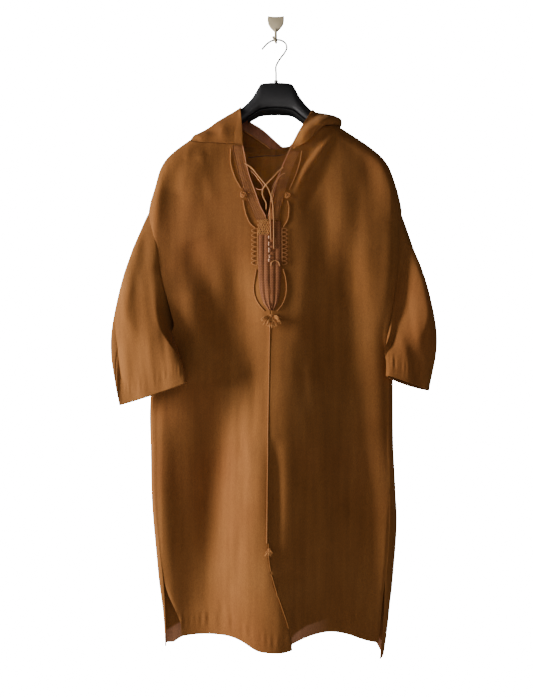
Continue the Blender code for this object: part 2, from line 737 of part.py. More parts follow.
def hood_curve(side, share, start):
    """The hood's cloth at one share of the neckline, from the neck seam to the rim."""
    row = HOODS[side].at(share)
    roll, drop, fold, rise, rim = [
        place(row[name + "_x"], row[name + "_f"], row[name + "_z"])
        for name in ("roll", "drop", "fold", "rise", "rim")
    ]
    half = np.linalg.norm(rise - drop) / 2
    across = unit(rise - drop) * FOLD_RADIUS
    depth = (drop + rise) / 2 - fold
    lift = depth * min((FOLD_RADIUS / half) ** 2, FOLD_RADIUS / np.linalg.norm(depth))
    curve, _ = spline([start, roll, drop, fold - across + lift, fold, fold + across + lift, rise, rim])
    rim_share = min(LARGEST_RIM_SHARE, RIM_ROW / np.linalg.norm(rim - rise))
    return curve, HOOD_RIM - rim_share


def hood_grid(side):
    starts, normals = neckline(side)
    steps = [np.linalg.norm(b - a) for a, b in zip(starts, starts[1:])]
    shares = np.concatenate(([0.0], np.cumsum(steps))) / sum(steps)
    outer = []
    for share, start in zip(shares, starts):
        curve, rim_row = hood_curve(side, share, start)
        rest = [curve(step) for step in (*HOOD_STEPS, rim_row, HOOD_RIM)]
        outer.append([start] + [clear_of_hanger(point, HANGER_CLEARANCE) for point in rest])
    for point in outer[-1]:
        point[0] = side * SEAM_GAP / 2
    return outer, normals


def hood_pair(side):
    outer, first_normals = hood_grid(side)
    normals = grid_normals(outer, False, -side)
    inner = []
    for i, line in enumerate(outer):
        row = []
        for k, point in enumerate(line):
            direction = normals[i][k]
            if k == 0:
                direction = lean(first_normals[i], direction, line[1] - line[0])
            if i == len(outer) - 1:
                direction = unit(direction * np.array([0.0, 1.0, 1.0]))
            row.append(point - direction * WALL)
        inner.append(row)
    return outer, inner


def make_hood(side):
    outer, inner = hood_pair(side)
    cloth_wall("hood_" + SIDE_NAMES[side], outer, inner, wool())


def make_hanger():
    bm = bmesh.new()
    rings = []
    for x in HANGER_SECTIONS:
        row = hanger_row(x)
        foot = row["middle"] - row["bottom"]
        ring = []
        for k in range(HANGER_SIDES):
            angle = 2 * math.pi * k / HANGER_SIDES
            reach = row["crown"] if math.cos(angle) > 0 else foot
            forward = row["half_thick"] * math.sin(angle)
            ring.append(bm.verts.new(place(x, forward, row["middle"] + reach * math.cos(angle)) * MM))
        rings.append(ring)
    for ring, beyond in zip(rings, rings[1:]):
        for k in range(HANGER_SIDES):
            n = (k + 1) % HANGER_SIDES
            sew(bm, ring[k], ring[n], beyond[n], beyond[k])
    bm.faces.new(rings[0])
    bm.faces.new(rings[-1])
    finish_mesh("hanger", bm, black_plastic())


class FrontCloth:
    """The fronts' outer surface, to lay the braid and cords on."""

    def __init__(self, fronts):
        self.trees = [BVHTree.FromPolygons(*self.faces(front)) for front in fronts]

    def faces(self, front):
        mesh = front.data
        return [vertex.co for vertex in mesh.vertices], [tuple(face.vertices) for face in mesh.polygons]

    def surface(self, x, z):
        """The cloth's own point in front view, or the table's where the seam's gap is met."""
        start = Vector((x, -1000.0, z - DATUM)) * MM
        hits = [tree.ray_cast(start, Vector((0, 1, 0)))[0] for tree in self.trees]
        found = [hit for hit in hits if hit is not None]
        forward = front_forward(x, z)
        if found:
            forward = max(-min(hit.y for hit in found) / MM - HANGER_TO_WALL, forward - 1)
        return place(x, forward, z)

    def lay(self, x, z, lift):
        """A point this far off the cloth."""
        step = 3.0
        over = place(x + step, front_forward(x + step, z), z) - place(x - step, front_forward(x - step, z), z)
        up = place(x, front_forward(x, z + step), z + step) - place(x, front_forward(x, z - step), z - step)
        return self.surface(x, z) + unit(np.cross(over, up)) * lift


def make_strip(name, cloth, rows, shares, heights):
    """A flat trim on the front. A row is (height, left x, right x); heights gives its columns' thickness."""
    outer = []
    inner = []
    for number, (z, left_x, right_x) in enumerate(rows):
        places = [(blend(left_x, right_x, share), z) for share in shares]
        thick = heights(number)
        inner.append([cloth.lay(x, row_z, TRIM_GAP) for x, row_z in places])
        outer.append([cloth.lay(x, row_z, TRIM_GAP + t) for (x, row_z), t in zip(places, thick)])
    return cloth_wall(name, outer, inner, braid())


def make_slit_band(side, cloth):
    """The braid band down one edge of the neck slit."""
    rows = []
    top = TOP_EDGE[side].read(0)[0] + BAND_TOP
    for k in range(BAND_ROWS + 1):
        z = blend(top, BAND_BOTTOM, k / BAND_ROWS)
        edge = centre_x(side, z) + side * BAND_INSET
        rows.append((z, edge, edge + side * BAND_WIDTH))
    make_strip("slit_band_" + SIDE_NAMES[side], cloth, rows, BAND_SHARES,
               lambda number: (BAND_THICK, BAND_GROOVE, BAND_THICK, BAND_GROOVE, BAND_THICK))


PANEL = Table("z left_x right_x", [
    (-437, -37, 10), (-470, -37.5, 10.5), (-545, -38, 10.5), (-585, -35, 9), (-612, -28, 4.5),
    (-630, -16, -6),
])
PANEL_ROWS = 13
PANEL_RIBS = 4


def make_braid_panel(cloth):
    """The braid panel that closes the slit, with four ribs down it."""
    rows = []
    for k in range(PANEL_ROWS + 1):
        z = blend(PANEL.stations[-1], PANEL.stations[0], k / PANEL_ROWS)
        row = PANEL.at(z)
        rows.append((z, row["left_x"], row["right_x"]))
    columns = 2 * PANEL_RIBS
    shares = [k / columns for k in range(columns + 1)]
    heights = [BAND_THICK + (RIB_HEIGHT if k % 2 else 0.0) for k in range(columns + 1)]
    make_strip("braid_panel", cloth, rows, shares, lambda number: heights)


def make_ladder(side, cloth, top, bottom, inner_x, outer_x, loops):
    """A row of small cord loops beside the panel, as a scalloped strip that bulges at each loop."""
    rows = []
    count = 2 * loops
    for k in range(count + 1):
        z = blend(top, bottom, k / count)
        reach = outer_x if k % 2 else blend(inner_x, outer_x, 0.45)
        rows.append((z, inner_x, reach))
    make_strip("loop_ladder_" + SIDE_NAMES[side], cloth, rows, (0, 0.3, 1),
               lambda number: (1.2, 1.2 + LOOP_HEIGHT * (number % 2), 1.2))


def make_cord(name, points, radius, surface, sides_level=2):
    """A round cord through points, capped at its ends."""
    curve = bpy.data.curves.new(name, "CURVE")
    curve.dimensions = "3D"
    curve.bevel_depth = radius * MM
    curve.bevel_resolution = sides_level
    curve.use_fill_caps = True
    line = curve.splines.new("POLY")
    line.points.add(len(points) - 1)
    for point, made in zip(points, line.points):
        made.co = (*(point * MM), 1.0)
    curve.materials.append(surface)
    cord = bpy.data.objects.new(name, curve)
    bpy.data.collections["hooded_robe"].objects.link(cord)
    return cord


def even_points(controls, spacing):
    """Points at an even spacing along the smooth curve through the controls."""
    curve, _ = spline(controls)
    fine = [curve(k / 20) for k in range(20 * (len(controls) - 1) + 1)]
    gaps = [np.linalg.norm(b - a) for a, b in zip(fine, fine[1:])]
    along = np.concatenate(([0.0], np.cumsum(gaps)))
    count = max(2, round(along[-1] / spacing))
    fine = np.array(fine)
    wanted = [along[-1] * k / count for k in range(count + 1)]
    return [np.array([np.interp(at, along, fine[:, axis]) for axis in range(3)]) for at in wanted]


# The sewn outline cords, as (x, z) in front view
OUTLINE_CORDS = {
    "outline_cord_upper_left": [
        (-98.5, -278), (-99, -304), (-94.5, -326), (-86, -347), (-79, -359), (-76.5, -364),
    ],
    "outline_cord_middle_left": [(-71.8, -390), (-68.5, -408), (-63.5, -426), (-56, -441), (-45, -451)],
    "outline_cord_upper_right": [(55, -283), (51, -308), (44, -332), (35, -354), (28.5, -368)],
    "outline_cord_middle_right": [(24.5, -393), (27.5, -403), (27.5, -419), (24, -436), (16, -449)],
    "outline_cord_lower_left": [
        (-42.5, -541), (-46, -562), (-48, -582), (-45, -600), (-39, -613), (-32, -623), (-25, -631),
    ],
    "outline_cord_lower_right": [(15, -541), (20.5, -562), (22, -582), (19.5, -601), (11, -620), (2, -631)],
}


def make_outline_cords(cloth):
    for name, route in OUTLINE_CORDS.items():
        controls = [cloth.lay(x, z, SEWN_CORD_GAP + CORD_RADIUS) for x, z in route]
        make_cord(name, even_points(controls, CORD_SPACING), CORD_RADIUS, cord_thread(), 1)


# The knots between the outline cords. above is what each lies on, over the cloth.
KNOT_THICK = 2.6
KNOT_LOBES = 4
KNOT_PINCH = 0.22
KNOTS = [
    {"side": LEFT, "x": -71, "z": -378, "radius": 7.0, "above": TRIM_GAP + BAND_THICK},
    {"side": RIGHT, "x": 24.5, "z": -381, "radius": 6.0, "above": 0.4},
]


def make_knots(cloth):
    """Small tied knots: balls that are pinched into lobes and flattened against the cloth."""
    for knot in KNOTS:
        centre = cloth.lay(knot["x"], knot["z"], knot["above"] + TRIM_GAP + KNOT_THICK)
        bm = bmesh.new()
        bmesh.ops.create_icosphere(bm, subdivisions=2, radius=1.0)
        for vertex in bm.verts:
            angle = math.atan2(vertex.co.z, vertex.co.x)
            reach = knot["radius"] * (1 + KNOT_PINCH * math.cos(KNOT_LOBES * angle) * (1 - vertex.co.y**2))
            vertex.co = (centre + np.array(vertex.co) * np.array([reach, KNOT_THICK, reach])) * MM
        finish_mesh("knot_" + SIDE_NAMES[knot["side"]], bm, cord_thread())


HEAD_WIDTH = 1.25
HEAD_DEPTH = 0.55


def make_tassel(name, cloth, centre, head, strands, length, spread):
    """A tassel: a flattened head whose outer faces are drawn out into loose strands."""
    x, z = centre
    middle = cloth.lay(x, z, TRIM_GAP + head * HEAD_DEPTH)
    bm = bmesh.new()
    bmesh.ops.create_icosphere(bm, subdivisions=2, radius=1.0)
    for vertex in bm.verts:
        vertex.co = (vertex.co.x * HEAD_WIDTH, vertex.co.y * HEAD_DEPTH, vertex.co.z)
    faces = [face for face in bm.faces if face.calc_center_median().z < spread and face.normal.y < 0.35]
    faces.sort(key=lambda face: (face.calc_center_median().z, face.calc_center_median().x))
    chosen = faces[:strands]
    for number, face in enumerate(chosen):
        root = np.array(face.calc_center_median())
        way = np.array([root[0] * 1.1, min(root[1], -0.05) * 0.5, root[2] * 0.6 - 0.75])
        way = unit(way)
        reach = length * (0.7 + 0.3 * math.sin(number * 2.4))
        for step, size in ((0.15, 0.42), (0.85, 0.6)):
            made = bmesh.ops.extrude_discrete_faces(bm, faces=[face])["faces"]
            face = made[0]
            heart = face.calc_center_median()
            for vertex in face.verts:
                vertex.co = heart + (vertex.co - heart) * size + Vector(way * reach * step)
            way = unit(way + np.array([0.12 * math.sin(number * 1.7), 0.0, -0.25]))
    for vertex in bm.verts:
        vertex.co = (middle + np.array(vertex.co) * head) * MM
    finish_mesh(name, bm, cord_thread())


# The free laces, as (x, z, height of the underside above the cloth's surface). Each is sewn to the braid
# band at its first point, crosses the slit and hangs over the panel.
LACES = {
    "lace_long": [
        (-68, -311, 2.3), (-61, -315, 3.2), (-52, -323, 5.5), (-42, -335, 7.5), (-30.7, -349, 8.2),
        (-15.6, -370, 8.4), (-8.5, -390, 7.6), (-5.5, -424, 4.6), (-5, -460, 3.7), (-4.8, -497, 3.7),
    ],
    "lace_short": [
        (15, -320, 2.3), (8, -327, 3.6), (-6, -343, 8), (-20, -359, 12), (-29, -370, 12), (-28, -384, 9.5),
        (-20.5, -399, 6.5), (-21, -412, 5),
    ],
    "lace_right": [
        (19, -333, 2.3), (11, -337, 3.4), (4, -346, 4.4), (-4, -362, 4.6), (-9.1, -378, 4.2),
        (-12.2, -402, 4), (-12.6, -430, 3.8), (-11.8, -455, 3.7), (-11.3, -477, 3.7),
    ],
}


def make_laces(cloth):
    for name, route in LACES.items():
        controls = [cloth.lay(x, z, above + LACE_RADIUS) for x, z, above in route]
        make_cord(name, even_points(controls, LACE_SPACING), LACE_RADIUS, cord_thread())


def make_rim_band(side):
    """The braid band inside the hood's rim."""
    _, inner = hood_pair(side)
    normals = grid_normals(inner, False, -side)
    near = []
    far = []
    for line, out in zip(inner[BEHIND_HANGER:], normals[BEHIND_HANGER:]):
        near.append([line[k] - out[k] * TRIM_GAP for k in (-2, -1)])
        far.append([line[k] - out[k] * (TRIM_GAP + BAND_THICK) for k in (-2, -1)])
    for line in (near[-1], far[-1]):
        for point in line:
            point[0] = side * SEAM_GAP / 2
    cloth_wall("rim_band_" + SIDE_NAMES[side], near, far, braid())


# The hanger's wire hook, as (x, z) in front view
STEEL_HOOK = [
    (0, -125.1), (0, -108), (0, -91), (2.5, -85), (10, -73), (19, -61), (23.5, -51), (20.5, -40.5),
    (12, -34.5), (0, -33), (-9, -35), (-20, -42), (-31, -54),
]


def make_steel_hook():
    controls = [place(x, 0.0, z) for x, z in STEEL_HOOK]
    make_cord("steel_hook", even_points(controls, STEEL_SPACING), STEEL_RADIUS, steel())


# The wall plate's outline as (x, z) and the hook's arm as (x, distance from the wall, z), from the origin
PLATE_OUTLINE = [
    (-18.5, 20), (-18.8, 13), (-18.8, 8), (-17, 0), (-12, -8), (-5, -15), (0, -18), (5, -15), (12, -8),
    (17.5, 0), (19, 8), (19.3, 20), (12, 18.6), (0, 18), (-12, 18.6),
]
PLATE_THICK = 6.0
PLATE_EDGE_SHARE = 0.6
PLATE_FACE_SHARE = 0.86
HOOK_ARM = [
    (0, 4, -12), (0, 10, -22), (0, 30, -41), (0, 60, -56), (0, 78, -63.2), (-2, 90, -62), (-7, 96, -56),
]


def make_wall_hook():
    """The wall plate with its arm. The plate's flat back is the object's origin."""
    bm = bmesh.new()
    back = [bm.verts.new(Vector((x, 0, z)) * MM) for x, z in PLATE_OUTLINE]
    edge = [bm.verts.new(Vector((x, -PLATE_THICK * PLATE_EDGE_SHARE, z)) * MM) for x, z in PLATE_OUTLINE]
    inset = [(x * PLATE_FACE_SHARE, z * PLATE_FACE_SHARE) for x, z in PLATE_OUTLINE]
    face = [bm.verts.new(Vector((x, -PLATE_THICK, z)) * MM) for x, z in inset]
    for low, high in ((back, edge), (edge, face)):
        for k in range(len(low)):
            n = (k + 1) % len(low)
            sew(bm, low[k], low[n], high[n], high[k])
    bm.faces.new(back)
    bm.faces.new(face)
    plate = finish_mesh("wall_hook", bm, cream_plastic(), 35.0)
    controls = [np.array([x, -forward, z]) for x, forward, z in HOOK_ARM]
    arm = make_cord("wall_hook_arm", even_points(controls, ARM_SPACING), ARM_RADIUS, cream_plastic())
    cutters = bpy.data.collections["cutters"]
    cutters.objects.link(arm)
    bpy.data.collections["hooded_robe"].objects.unlink(arm)
    mesh_arm = bpy.data.objects.new("wall_hook_arm_mesh", bpy.data.meshes.new_from_object(arm))
    bpy.data.objects.remove(arm)
    cutters.objects.link(mesh_arm)
    mesh_arm.hide_render = True
    mesh_arm.hide_viewport = True
    join = plate.modifiers.new("arm", "BOOLEAN")
    join.operation = "UNION"
    join.solver = "EXACT"
    join.object = mesh_arm


def clear_scene():
    for old in list(bpy.data.objects):
        bpy.data.objects.remove(old, do_unlink=True)
    for name in ("hooded_robe", "cutters"):
        bpy.context.scene.collection.children.link(bpy.data.collections.new(name))


def make_cloth():
    for side in (LEFT, RIGHT):
        make_front(side)
        make_sleeve(side)
        make_hood(side)
        make_rim_band(side)
    make_back()


def make_trims():
    fronts = [bpy.data.objects["front_" + name] for name in SIDE_NAMES.values()]
    cloth = FrontCloth(fronts)
    for side in (LEFT, RIGHT):
        make_slit_band(side, cloth)
    make_braid_panel(cloth)
    make_ladder(LEFT, cloth, -453.0, -531.0, -39.5, -54.0, 7)
    make_ladder(RIGHT, cloth, -453.0, -531.0, 12.5, 25.0, 8)
    make_outline_cords(cloth)
    make_knots(cloth)
    make_laces(cloth)
    make_tassel("panel_tassel", cloth, (-10.0, -643.0), 8.5, 30, 3.0, 0.6)
    make_tassel("seam_tassel", cloth, (-15.7, -1140.0), 3.6, 12, 3.6, 0.0)


def main():
    clear_scene()
    make_cloth()
    make_trims()
    make_hanger()
    make_steel_hook()
    make_wall_hook()


main()
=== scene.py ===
import math

import bmesh
import bpy
import numpy as np
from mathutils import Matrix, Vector
from mathutils.bvhtree import BVHTree


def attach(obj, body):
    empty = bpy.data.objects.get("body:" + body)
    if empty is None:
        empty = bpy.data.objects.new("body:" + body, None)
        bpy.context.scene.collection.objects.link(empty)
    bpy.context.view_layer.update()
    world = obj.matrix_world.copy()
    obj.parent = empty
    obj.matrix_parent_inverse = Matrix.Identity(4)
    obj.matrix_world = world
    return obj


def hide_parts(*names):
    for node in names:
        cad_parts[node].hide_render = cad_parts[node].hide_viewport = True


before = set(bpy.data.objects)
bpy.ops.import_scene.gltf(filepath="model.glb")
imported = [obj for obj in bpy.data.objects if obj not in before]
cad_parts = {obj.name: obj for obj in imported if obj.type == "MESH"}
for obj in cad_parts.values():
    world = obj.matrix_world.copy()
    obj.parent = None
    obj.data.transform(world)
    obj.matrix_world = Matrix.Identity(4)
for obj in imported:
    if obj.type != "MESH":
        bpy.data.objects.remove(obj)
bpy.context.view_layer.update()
# Lengths are in millimetres, and places in the frame's axes, unless a comment says otherwise.
mm = 0.001


# Small helpers

def selectOnly(piece):
    bpy.ops.object.select_all(action="DESELECT")
    piece.select_set(True)
    bpy.context.view_layer.objects.active = piece


def setValues(thing, values):
    for name, value in values.items():
        setattr(thing, name, value)


def newObject(name, data):
    made = bpy.data.objects.new(name, data)
    bpy.context.scene.collection.objects.link(made)
    return made


# Adds a modifier to a piece and applies it.
def modify(piece, kind, **values):
    modifier = piece.modifiers.new(kind, kind)
    setValues(modifier, values)
    selectOnly(piece)
    bpy.ops.object.modifier_apply(modifier=modifier.name)


def subdivide(piece, levels, **values):
    modify(piece, "SUBSURF", levels=levels, render_levels=levels, **values)


def readPoints(piece, what):
    flat = np.zeros(len(piece.data.vertices) * 3)
    piece.data.vertices.foreach_get(what, flat)
    return flat.reshape(-1, 3)


def points(piece):
    return readPoints(piece, "co") / mm


def setPoints(piece, places):
    piece.data.vertices.foreach_set("co", (places * mm).ravel())
    piece.data.update()


def wear(piece, *materials):
    piece.data.materials.clear()
    for material in materials:
        piece.data.materials.append(material)


# The camera stands where the photo was taken: level, a little left of the hanger's middle.
cameraPlace = {
    "x": -21.0, "fromWall": 2278.0, "height": -736.6, "pixelSize": 2.2, "toHanger": 2200.0, "pictureHeight": 697,
    "sensor": 36.0,
}


def makeCamera():
    data = bpy.data.cameras.new("camera")
    data.sensor_width = cameraPlace["sensor"]
    halfView = cameraPlace["pictureHeight"] / 2 * cameraPlace["pixelSize"] / cameraPlace["toHanger"]
    data.lens = data.sensor_width / 2 / halfView
    camera = newObject("camera", data)
    camera.location = Vector((cameraPlace["x"], -cameraPlace["fromWall"], cameraPlace["height"])) * mm
    camera.rotation_euler = (math.radians(90), 0, 0)
    bpy.context.scene.camera = camera


makeCamera()
print("camera ready")


# Hands a piece over: the body it rides on and the solids that it stands for. Its slot name is not used.
def finishPiece(piece, slotName, *nodes):
    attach(piece, "root")
    if nodes:
        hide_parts(*nodes)
    return piece


def camelName(nodeName):
    first, *rest = nodeName.split("_")
    return first + "".join(part.title() for part in rest)


# 0 up to the start, 1 from the start plus the run on, and even between them.
def ramp(value, start, run):
    return np.clip((value - start) / run, 0, 1)


# In metres and degrees: what is merged, which edges of a wall stay sharp, and how far shading is smooth.
meshRules = {"merge": 0.00003, "quads": 60, "wall": 0.0027, "corner": 28, "sharp": 66, "smooth": 55, "hardSmooth": 40}


# The node's mesh in a new object, with its loose triangles merged into one skin of quads.
def nodeCopy(nodeName, pieceName):
    piece = newObject(pieceName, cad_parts[nodeName].data.copy())
    selectOnly(piece)
    bpy.ops.object.mode_set(mode="EDIT")
    bpy.ops.mesh.select_all(action="SELECT")
    bpy.ops.mesh.remove_doubles(threshold=meshRules["merge"])
    flat = math.radians(meshRules["quads"])
    bpy.ops.mesh.tris_convert_to_quads(face_threshold=flat, shape_threshold=flat)
    bpy.ops.mesh.select_all(action="DESELECT")
    bpy.ops.object.mode_set(mode="OBJECT")
    return piece


# Holds the wall's sharp rims, and the short edges at its corners, through the subdivision.
def keepRims(piece):
    mesh = bmesh.new()
    mesh.from_mesh(piece.data)
    layer = mesh.edges.layers.float.new("crease_edge")
    for edge in mesh.edges:
        angle = math.degrees(edge.calc_face_angle(0))
        short = edge.calc_length() < meshRules["wall"]
        if angle > meshRules["sharp"] or (short and angle > meshRules["corner"]):
            edge[layer] = 1.0
    mesh.to_mesh(piece.data)
    mesh.free()


def smoothShade(piece, angle=meshRules["smooth"]):
    selectOnly(piece)
    bpy.ops.object.shade_smooth_by_angle(angle=math.radians(angle))


# The mesh object that an operator adds, with its name.
def added(operator, name, **values):
    bpy.ops.object.select_all(action="DESELECT")
    operator(**values)
    piece = bpy.context.active_object
    piece.name = name
    return piece


# Smooths and dresses a mesh, and hands it over.
def finishMesh(piece, angle, material, slotName, *nodes):
    smoothShade(piece, angle)
    wear(piece, material)
    return finishPiece(piece, slotName, *nodes)


# Materials

# Sets a node's inputs: values go on their sockets, and other nodes' outputs are linked to them.
def setInputs(node, inputs):
    for name, value in inputs.items():
        if isinstance(value, bpy.types.NodeSocket):
            node.id_data.links.new(value, node.inputs[name])
        else:
            node.inputs[name].default_value = value


# Adds a node and gives one of its outputs.
def addNode(tree, kind, inputs, output, **settings):
    node = tree.nodes.new("ShaderNode" + kind)
    setValues(node, settings)
    setInputs(node, inputs)
    return node.outputs[output]


# A new material, its shader and the object's coordinates.
def newMaterial(name):
    material = bpy.data.materials.new(name)
    material.use_nodes = True
    tree = material.node_tree
    return material, tree.nodes["Principled BSDF"], addNode(tree, "TexCoord", {}, "Object")


# The colour of a value between stops.
def rampColour(value, *stops):
    node = value.id_data.nodes.new("ShaderNodeValToRGB")
    elements = node.color_ramp.elements
    while len(elements) < len(stops):
        elements.new(0.5)
    for element, (place, colour) in zip(elements, stops):
        element.position = place
        element.color = (*colour, 1.0)
    setInputs(node, {"Fac": value})
    return node.outputs["Color"]


# The value of a noise, drawn out along an axis where stretch says so.
def noiseValue(source, scale, detail, roughness, stretch=None):
    tree = source.id_data
    if stretch:
        source = addNode(tree, "Mapping", {"Vector": source, "Scale": stretch}, "Vector")
    inputs = {"Vector": source, "Scale": scale, "Detail": detail, "Roughness": roughness}
    return addNode(tree, "TexNoise", inputs, "Fac")


# A mix node's sockets for colours are the seventh and eighth, and its third output.
def mixColour(first, second, factor, blend="MIX"):
    return addNode(first.id_data, "Mix", {0: factor, 6: first, 7: second}, 2, data_type="RGBA", blend_type=blend)


# Raised detail, over the detail that was raised before it.
def bumpNormal(height, strength, distance, **before):
    return addNode(height.id_data, "Bump", {"Height": height, "Strength": strength, "Distance": distance, **before},
                   "Normal")


# A value that runs from low to high as the given one runs from 0 to 1.
def rangeValue(value, low, high):
    return addNode(value.id_data, "MapRange", {"Value": value, "To Min": low, "To Max": high}, "Result")


woolLook = {
    "deep": (0.245, 0.094, 0.022),
    "middle": (0.285, 0.113, 0.029),
    "light": (0.325, 0.136, 0.038),
    "red": (0.290, 0.093, 0.027, 1.0),
    # Painted light: the lighter colour of the turned-up hem bands.
    "fold": (0.56, 0.26, 0.14, 1.0),
}


# Napped wool: worn patches, streaks down the cloth, a fine twill and loose fibres, and a lighter colour on the
# turned-up hem bands that is painted light.
def woolMaterial(name, turned=0.0):
    material, shader, coords = newMaterial(name)
    tree = coords.id_data
    if turned:
        coords = addNode(tree, "Mapping", {"Vector": coords, "Rotation": (0, turned, 0)}, "Vector")
    patches = noiseValue(coords, 7.0, 4.0, 0.5)
    colour = rampColour(patches, (0.25, woolLook["deep"]), (0.5, woolLook["middle"]), (0.78, woolLook["light"]))
    redPatches = noiseValue(coords, 3.1, 3.0, 0.5)
    redAmount = rampColour(redPatches, (0.45, (0, 0, 0)), (0.75, (0.6, 0.6, 0.6)))
    colour = mixColour(colour, woolLook["red"], redAmount)
    # Painted light: the turned-up hem bands are made lighter here.
    colour = mixColour(colour, woolLook["fold"], addNode(tree, "Attribute", {}, "Fac", attribute_name="fold"))
    streaks = noiseValue(coords, 60.0, 3.0, 0.6, (1.0, 1.0, 0.06))
    streakTone = rampColour(streaks, (0.3, (0.86, 0.85, 0.84)), (0.7, (1.08, 1.08, 1.07)))
    colour = mixColour(colour, streakTone, 1.0, "MULTIPLY")
    fibres = noiseValue(coords, 620.0, 5.0, 0.7, (1.0, 1.0, 0.45))
    fibreTone = rampColour(fibres, (0.3, (0.78, 0.77, 0.76)), (0.7, (1.16, 1.15, 1.13)))
    colour = mixColour(colour, fibreTone, 1.0, "MULTIPLY")
    twill = addNode(tree, "TexWave", {"Vector": coords, "Scale": 210.0, "Distortion": 1.2, "Detail": 1.0}, "Fac",
                    wave_type="BANDS", bands_direction="DIAGONAL")
    setInputs(shader, {
        "Base Color": colour, "Normal": bumpNormal(fibres, 0.5, 0.0006, Normal=bumpNormal(twill, 0.25, 0.0004)),
        "Roughness": 0.92, "Specular IOR Level": 0.2, "Sheen Weight": 0.14, "Sheen Roughness": 0.45,
        "Sheen Tint": (0.85, 0.55, 0.30, 1.0),
    })
    return material


# Twisted thread: fine light and dark strands.
def threadMaterial(name, dark, light):
    material, shader, coords = newMaterial(name)
    strands = noiseValue(coords, 900.0, 3.0, 0.6)
    setInputs(shader, {
        "Base Color": rampColour(strands, (0.32, dark), (0.66, light)), "Normal": bumpNormal(strands, 0.6, 0.0004),
        "Roughness": 0.75, "Sheen Weight": 0.06, "Sheen Tint": (0.9, 0.6, 0.35, 1.0),
    })
    return material


# Flat braid: chevron plaits that follow the braid's own UV map, u across and v along, in metres.
def braidMaterial(name, dark, light, plaitsPerMetre=330.0):
    material, shader, coords = newMaterial(name)
    tree = coords.id_data
    uv = addNode(tree, "UVMap", {}, "UV", uv_map="braid")

    def calculate(operation, *values):
        return addNode(tree, "Math", dict(enumerate(values)), "Value", operation=operation)

    ribPlace = calculate("FRACT", calculate("MULTIPLY", addNode(tree, "SeparateXYZ", {"Vector": uv}, "X"), 250.0))
    slope = calculate("ABSOLUTE", calculate("SUBTRACT", ribPlace, 0.5))
    along = calculate("MULTIPLY", addNode(tree, "SeparateXYZ", {"Vector": uv}, "Y"), plaitsPerMetre)
    plaitPlace = calculate("FRACT", calculate("ADD", along, calculate("MULTIPLY", slope, 1.1)))
    height = calculate("SINE", calculate("MULTIPLY", plaitPlace, math.pi))
    fibres = noiseValue(coords, 700.0, 4.0, 0.7)
    worn = calculate("SUBTRACT", noiseValue(coords, 40.0, 3.0, 0.6), 0.5)
    tone = calculate("ADD", calculate("MULTIPLY", height, fibres), calculate("MULTIPLY", worn, 0.6))
    normal = bumpNormal(fibres, 0.4, 0.0004, Normal=bumpNormal(height, 0.7, 0.0006))
    setInputs(shader, {
        "Base Color": rampColour(tone, (0.05, dark), (0.62, light)), "Normal": normal, "Roughness": 0.8,
        "Sheen Weight": 0.05, "Sheen Tint": (0.9, 0.55, 0.3, 1.0),
    })
    return material


# Moulded plastic with a fine grain, rubbed smoother in places.
def plasticMaterial(name, colour, roughness, grain, coat=0.0):
    material, shader, coords = newMaterial(name)
    rubbed = noiseValue(coords, 28.0, 4.0, 0.6)
    shade = tuple(part * 0.82 for part in colour)
    setInputs(shader, {
        "Base Color": rampColour(rubbed, (0.35, shade), (0.65, colour)),
        "Roughness": rangeValue(rubbed, roughness - 0.08, roughness + 0.08),
        "Normal": bumpNormal(noiseValue(coords, 1500.0, 2.0, 0.5), grain, 0.0003), "Coat Weight": coat,
    })
    return material


# Plated wire, a little dull with age.
def steelMaterial(name):
    material, shader, coords = newMaterial(name)
    dull = noiseValue(coords, 90.0, 4.0, 0.6)
    setInputs(shader, {
        "Base Color": rampColour(dull, (0.3, (0.30, 0.29, 0.26)), (0.7, (0.62, 0.61, 0.57))),
        "Roughness": rangeValue(dull, 0.22, 0.42), "Metallic": 1.0,
    })
    return material


bodyWool = woolMaterial("bodyWool")
sleeveWool = {-1: woolMaterial("sleeveWoolLeft", 0.15), 1: woolMaterial("sleeveWoolRight", -0.15)}
bandBraid = braidMaterial("bandBraid", (0.17, 0.053, 0.010), (0.39, 0.142, 0.030))
panelBraid = braidMaterial("panelBraid", (0.14, 0.040, 0.010), (0.38, 0.130, 0.034), 290.0)
rimBraid = braidMaterial("rimBraid", (0.24, 0.075, 0.034), (0.50, 0.190, 0.095))
cordThread = threadMaterial("cordThread", (0.32, 0.115, 0.026), (0.60, 0.250, 0.070))
laceThread = threadMaterial("laceThread", (0.40, 0.155, 0.048), (0.68, 0.320, 0.115))
tasselThread = threadMaterial("tasselThread", (0.30, 0.105, 0.022), (0.72, 0.320, 0.085))
edgeThread = threadMaterial("edgeThread", (0.32, 0.110, 0.045), (0.52, 0.205, 0.090))
# A darker copy of the cord thread for the right ladder: painted shade.
paintedShadeThread = threadMaterial("paintedShadeThread", (0.24, 0.080, 0.018), (0.42, 0.160, 0.042))
seamThread = threadMaterial("seamThread", (0.05, 0.016, 0.006), (0.11, 0.038, 0.012))
paleThread = threadMaterial("paleThread", (0.55, 0.26, 0.14), (0.92, 0.56, 0.36))
hangerPlastic = plasticMaterial("hangerPlastic", (0.036, 0.036, 0.039), 0.46, 0.15)
gripRubber = plasticMaterial("gripRubber", (0.008, 0.008, 0.009), 0.75, 0.4)
creamPlastic = plasticMaterial("creamPlastic", (0.80, 0.68, 0.45), 0.32, 0.05, 0.4)
wireSteel = steelMaterial("platedWire")
print("materials ready")


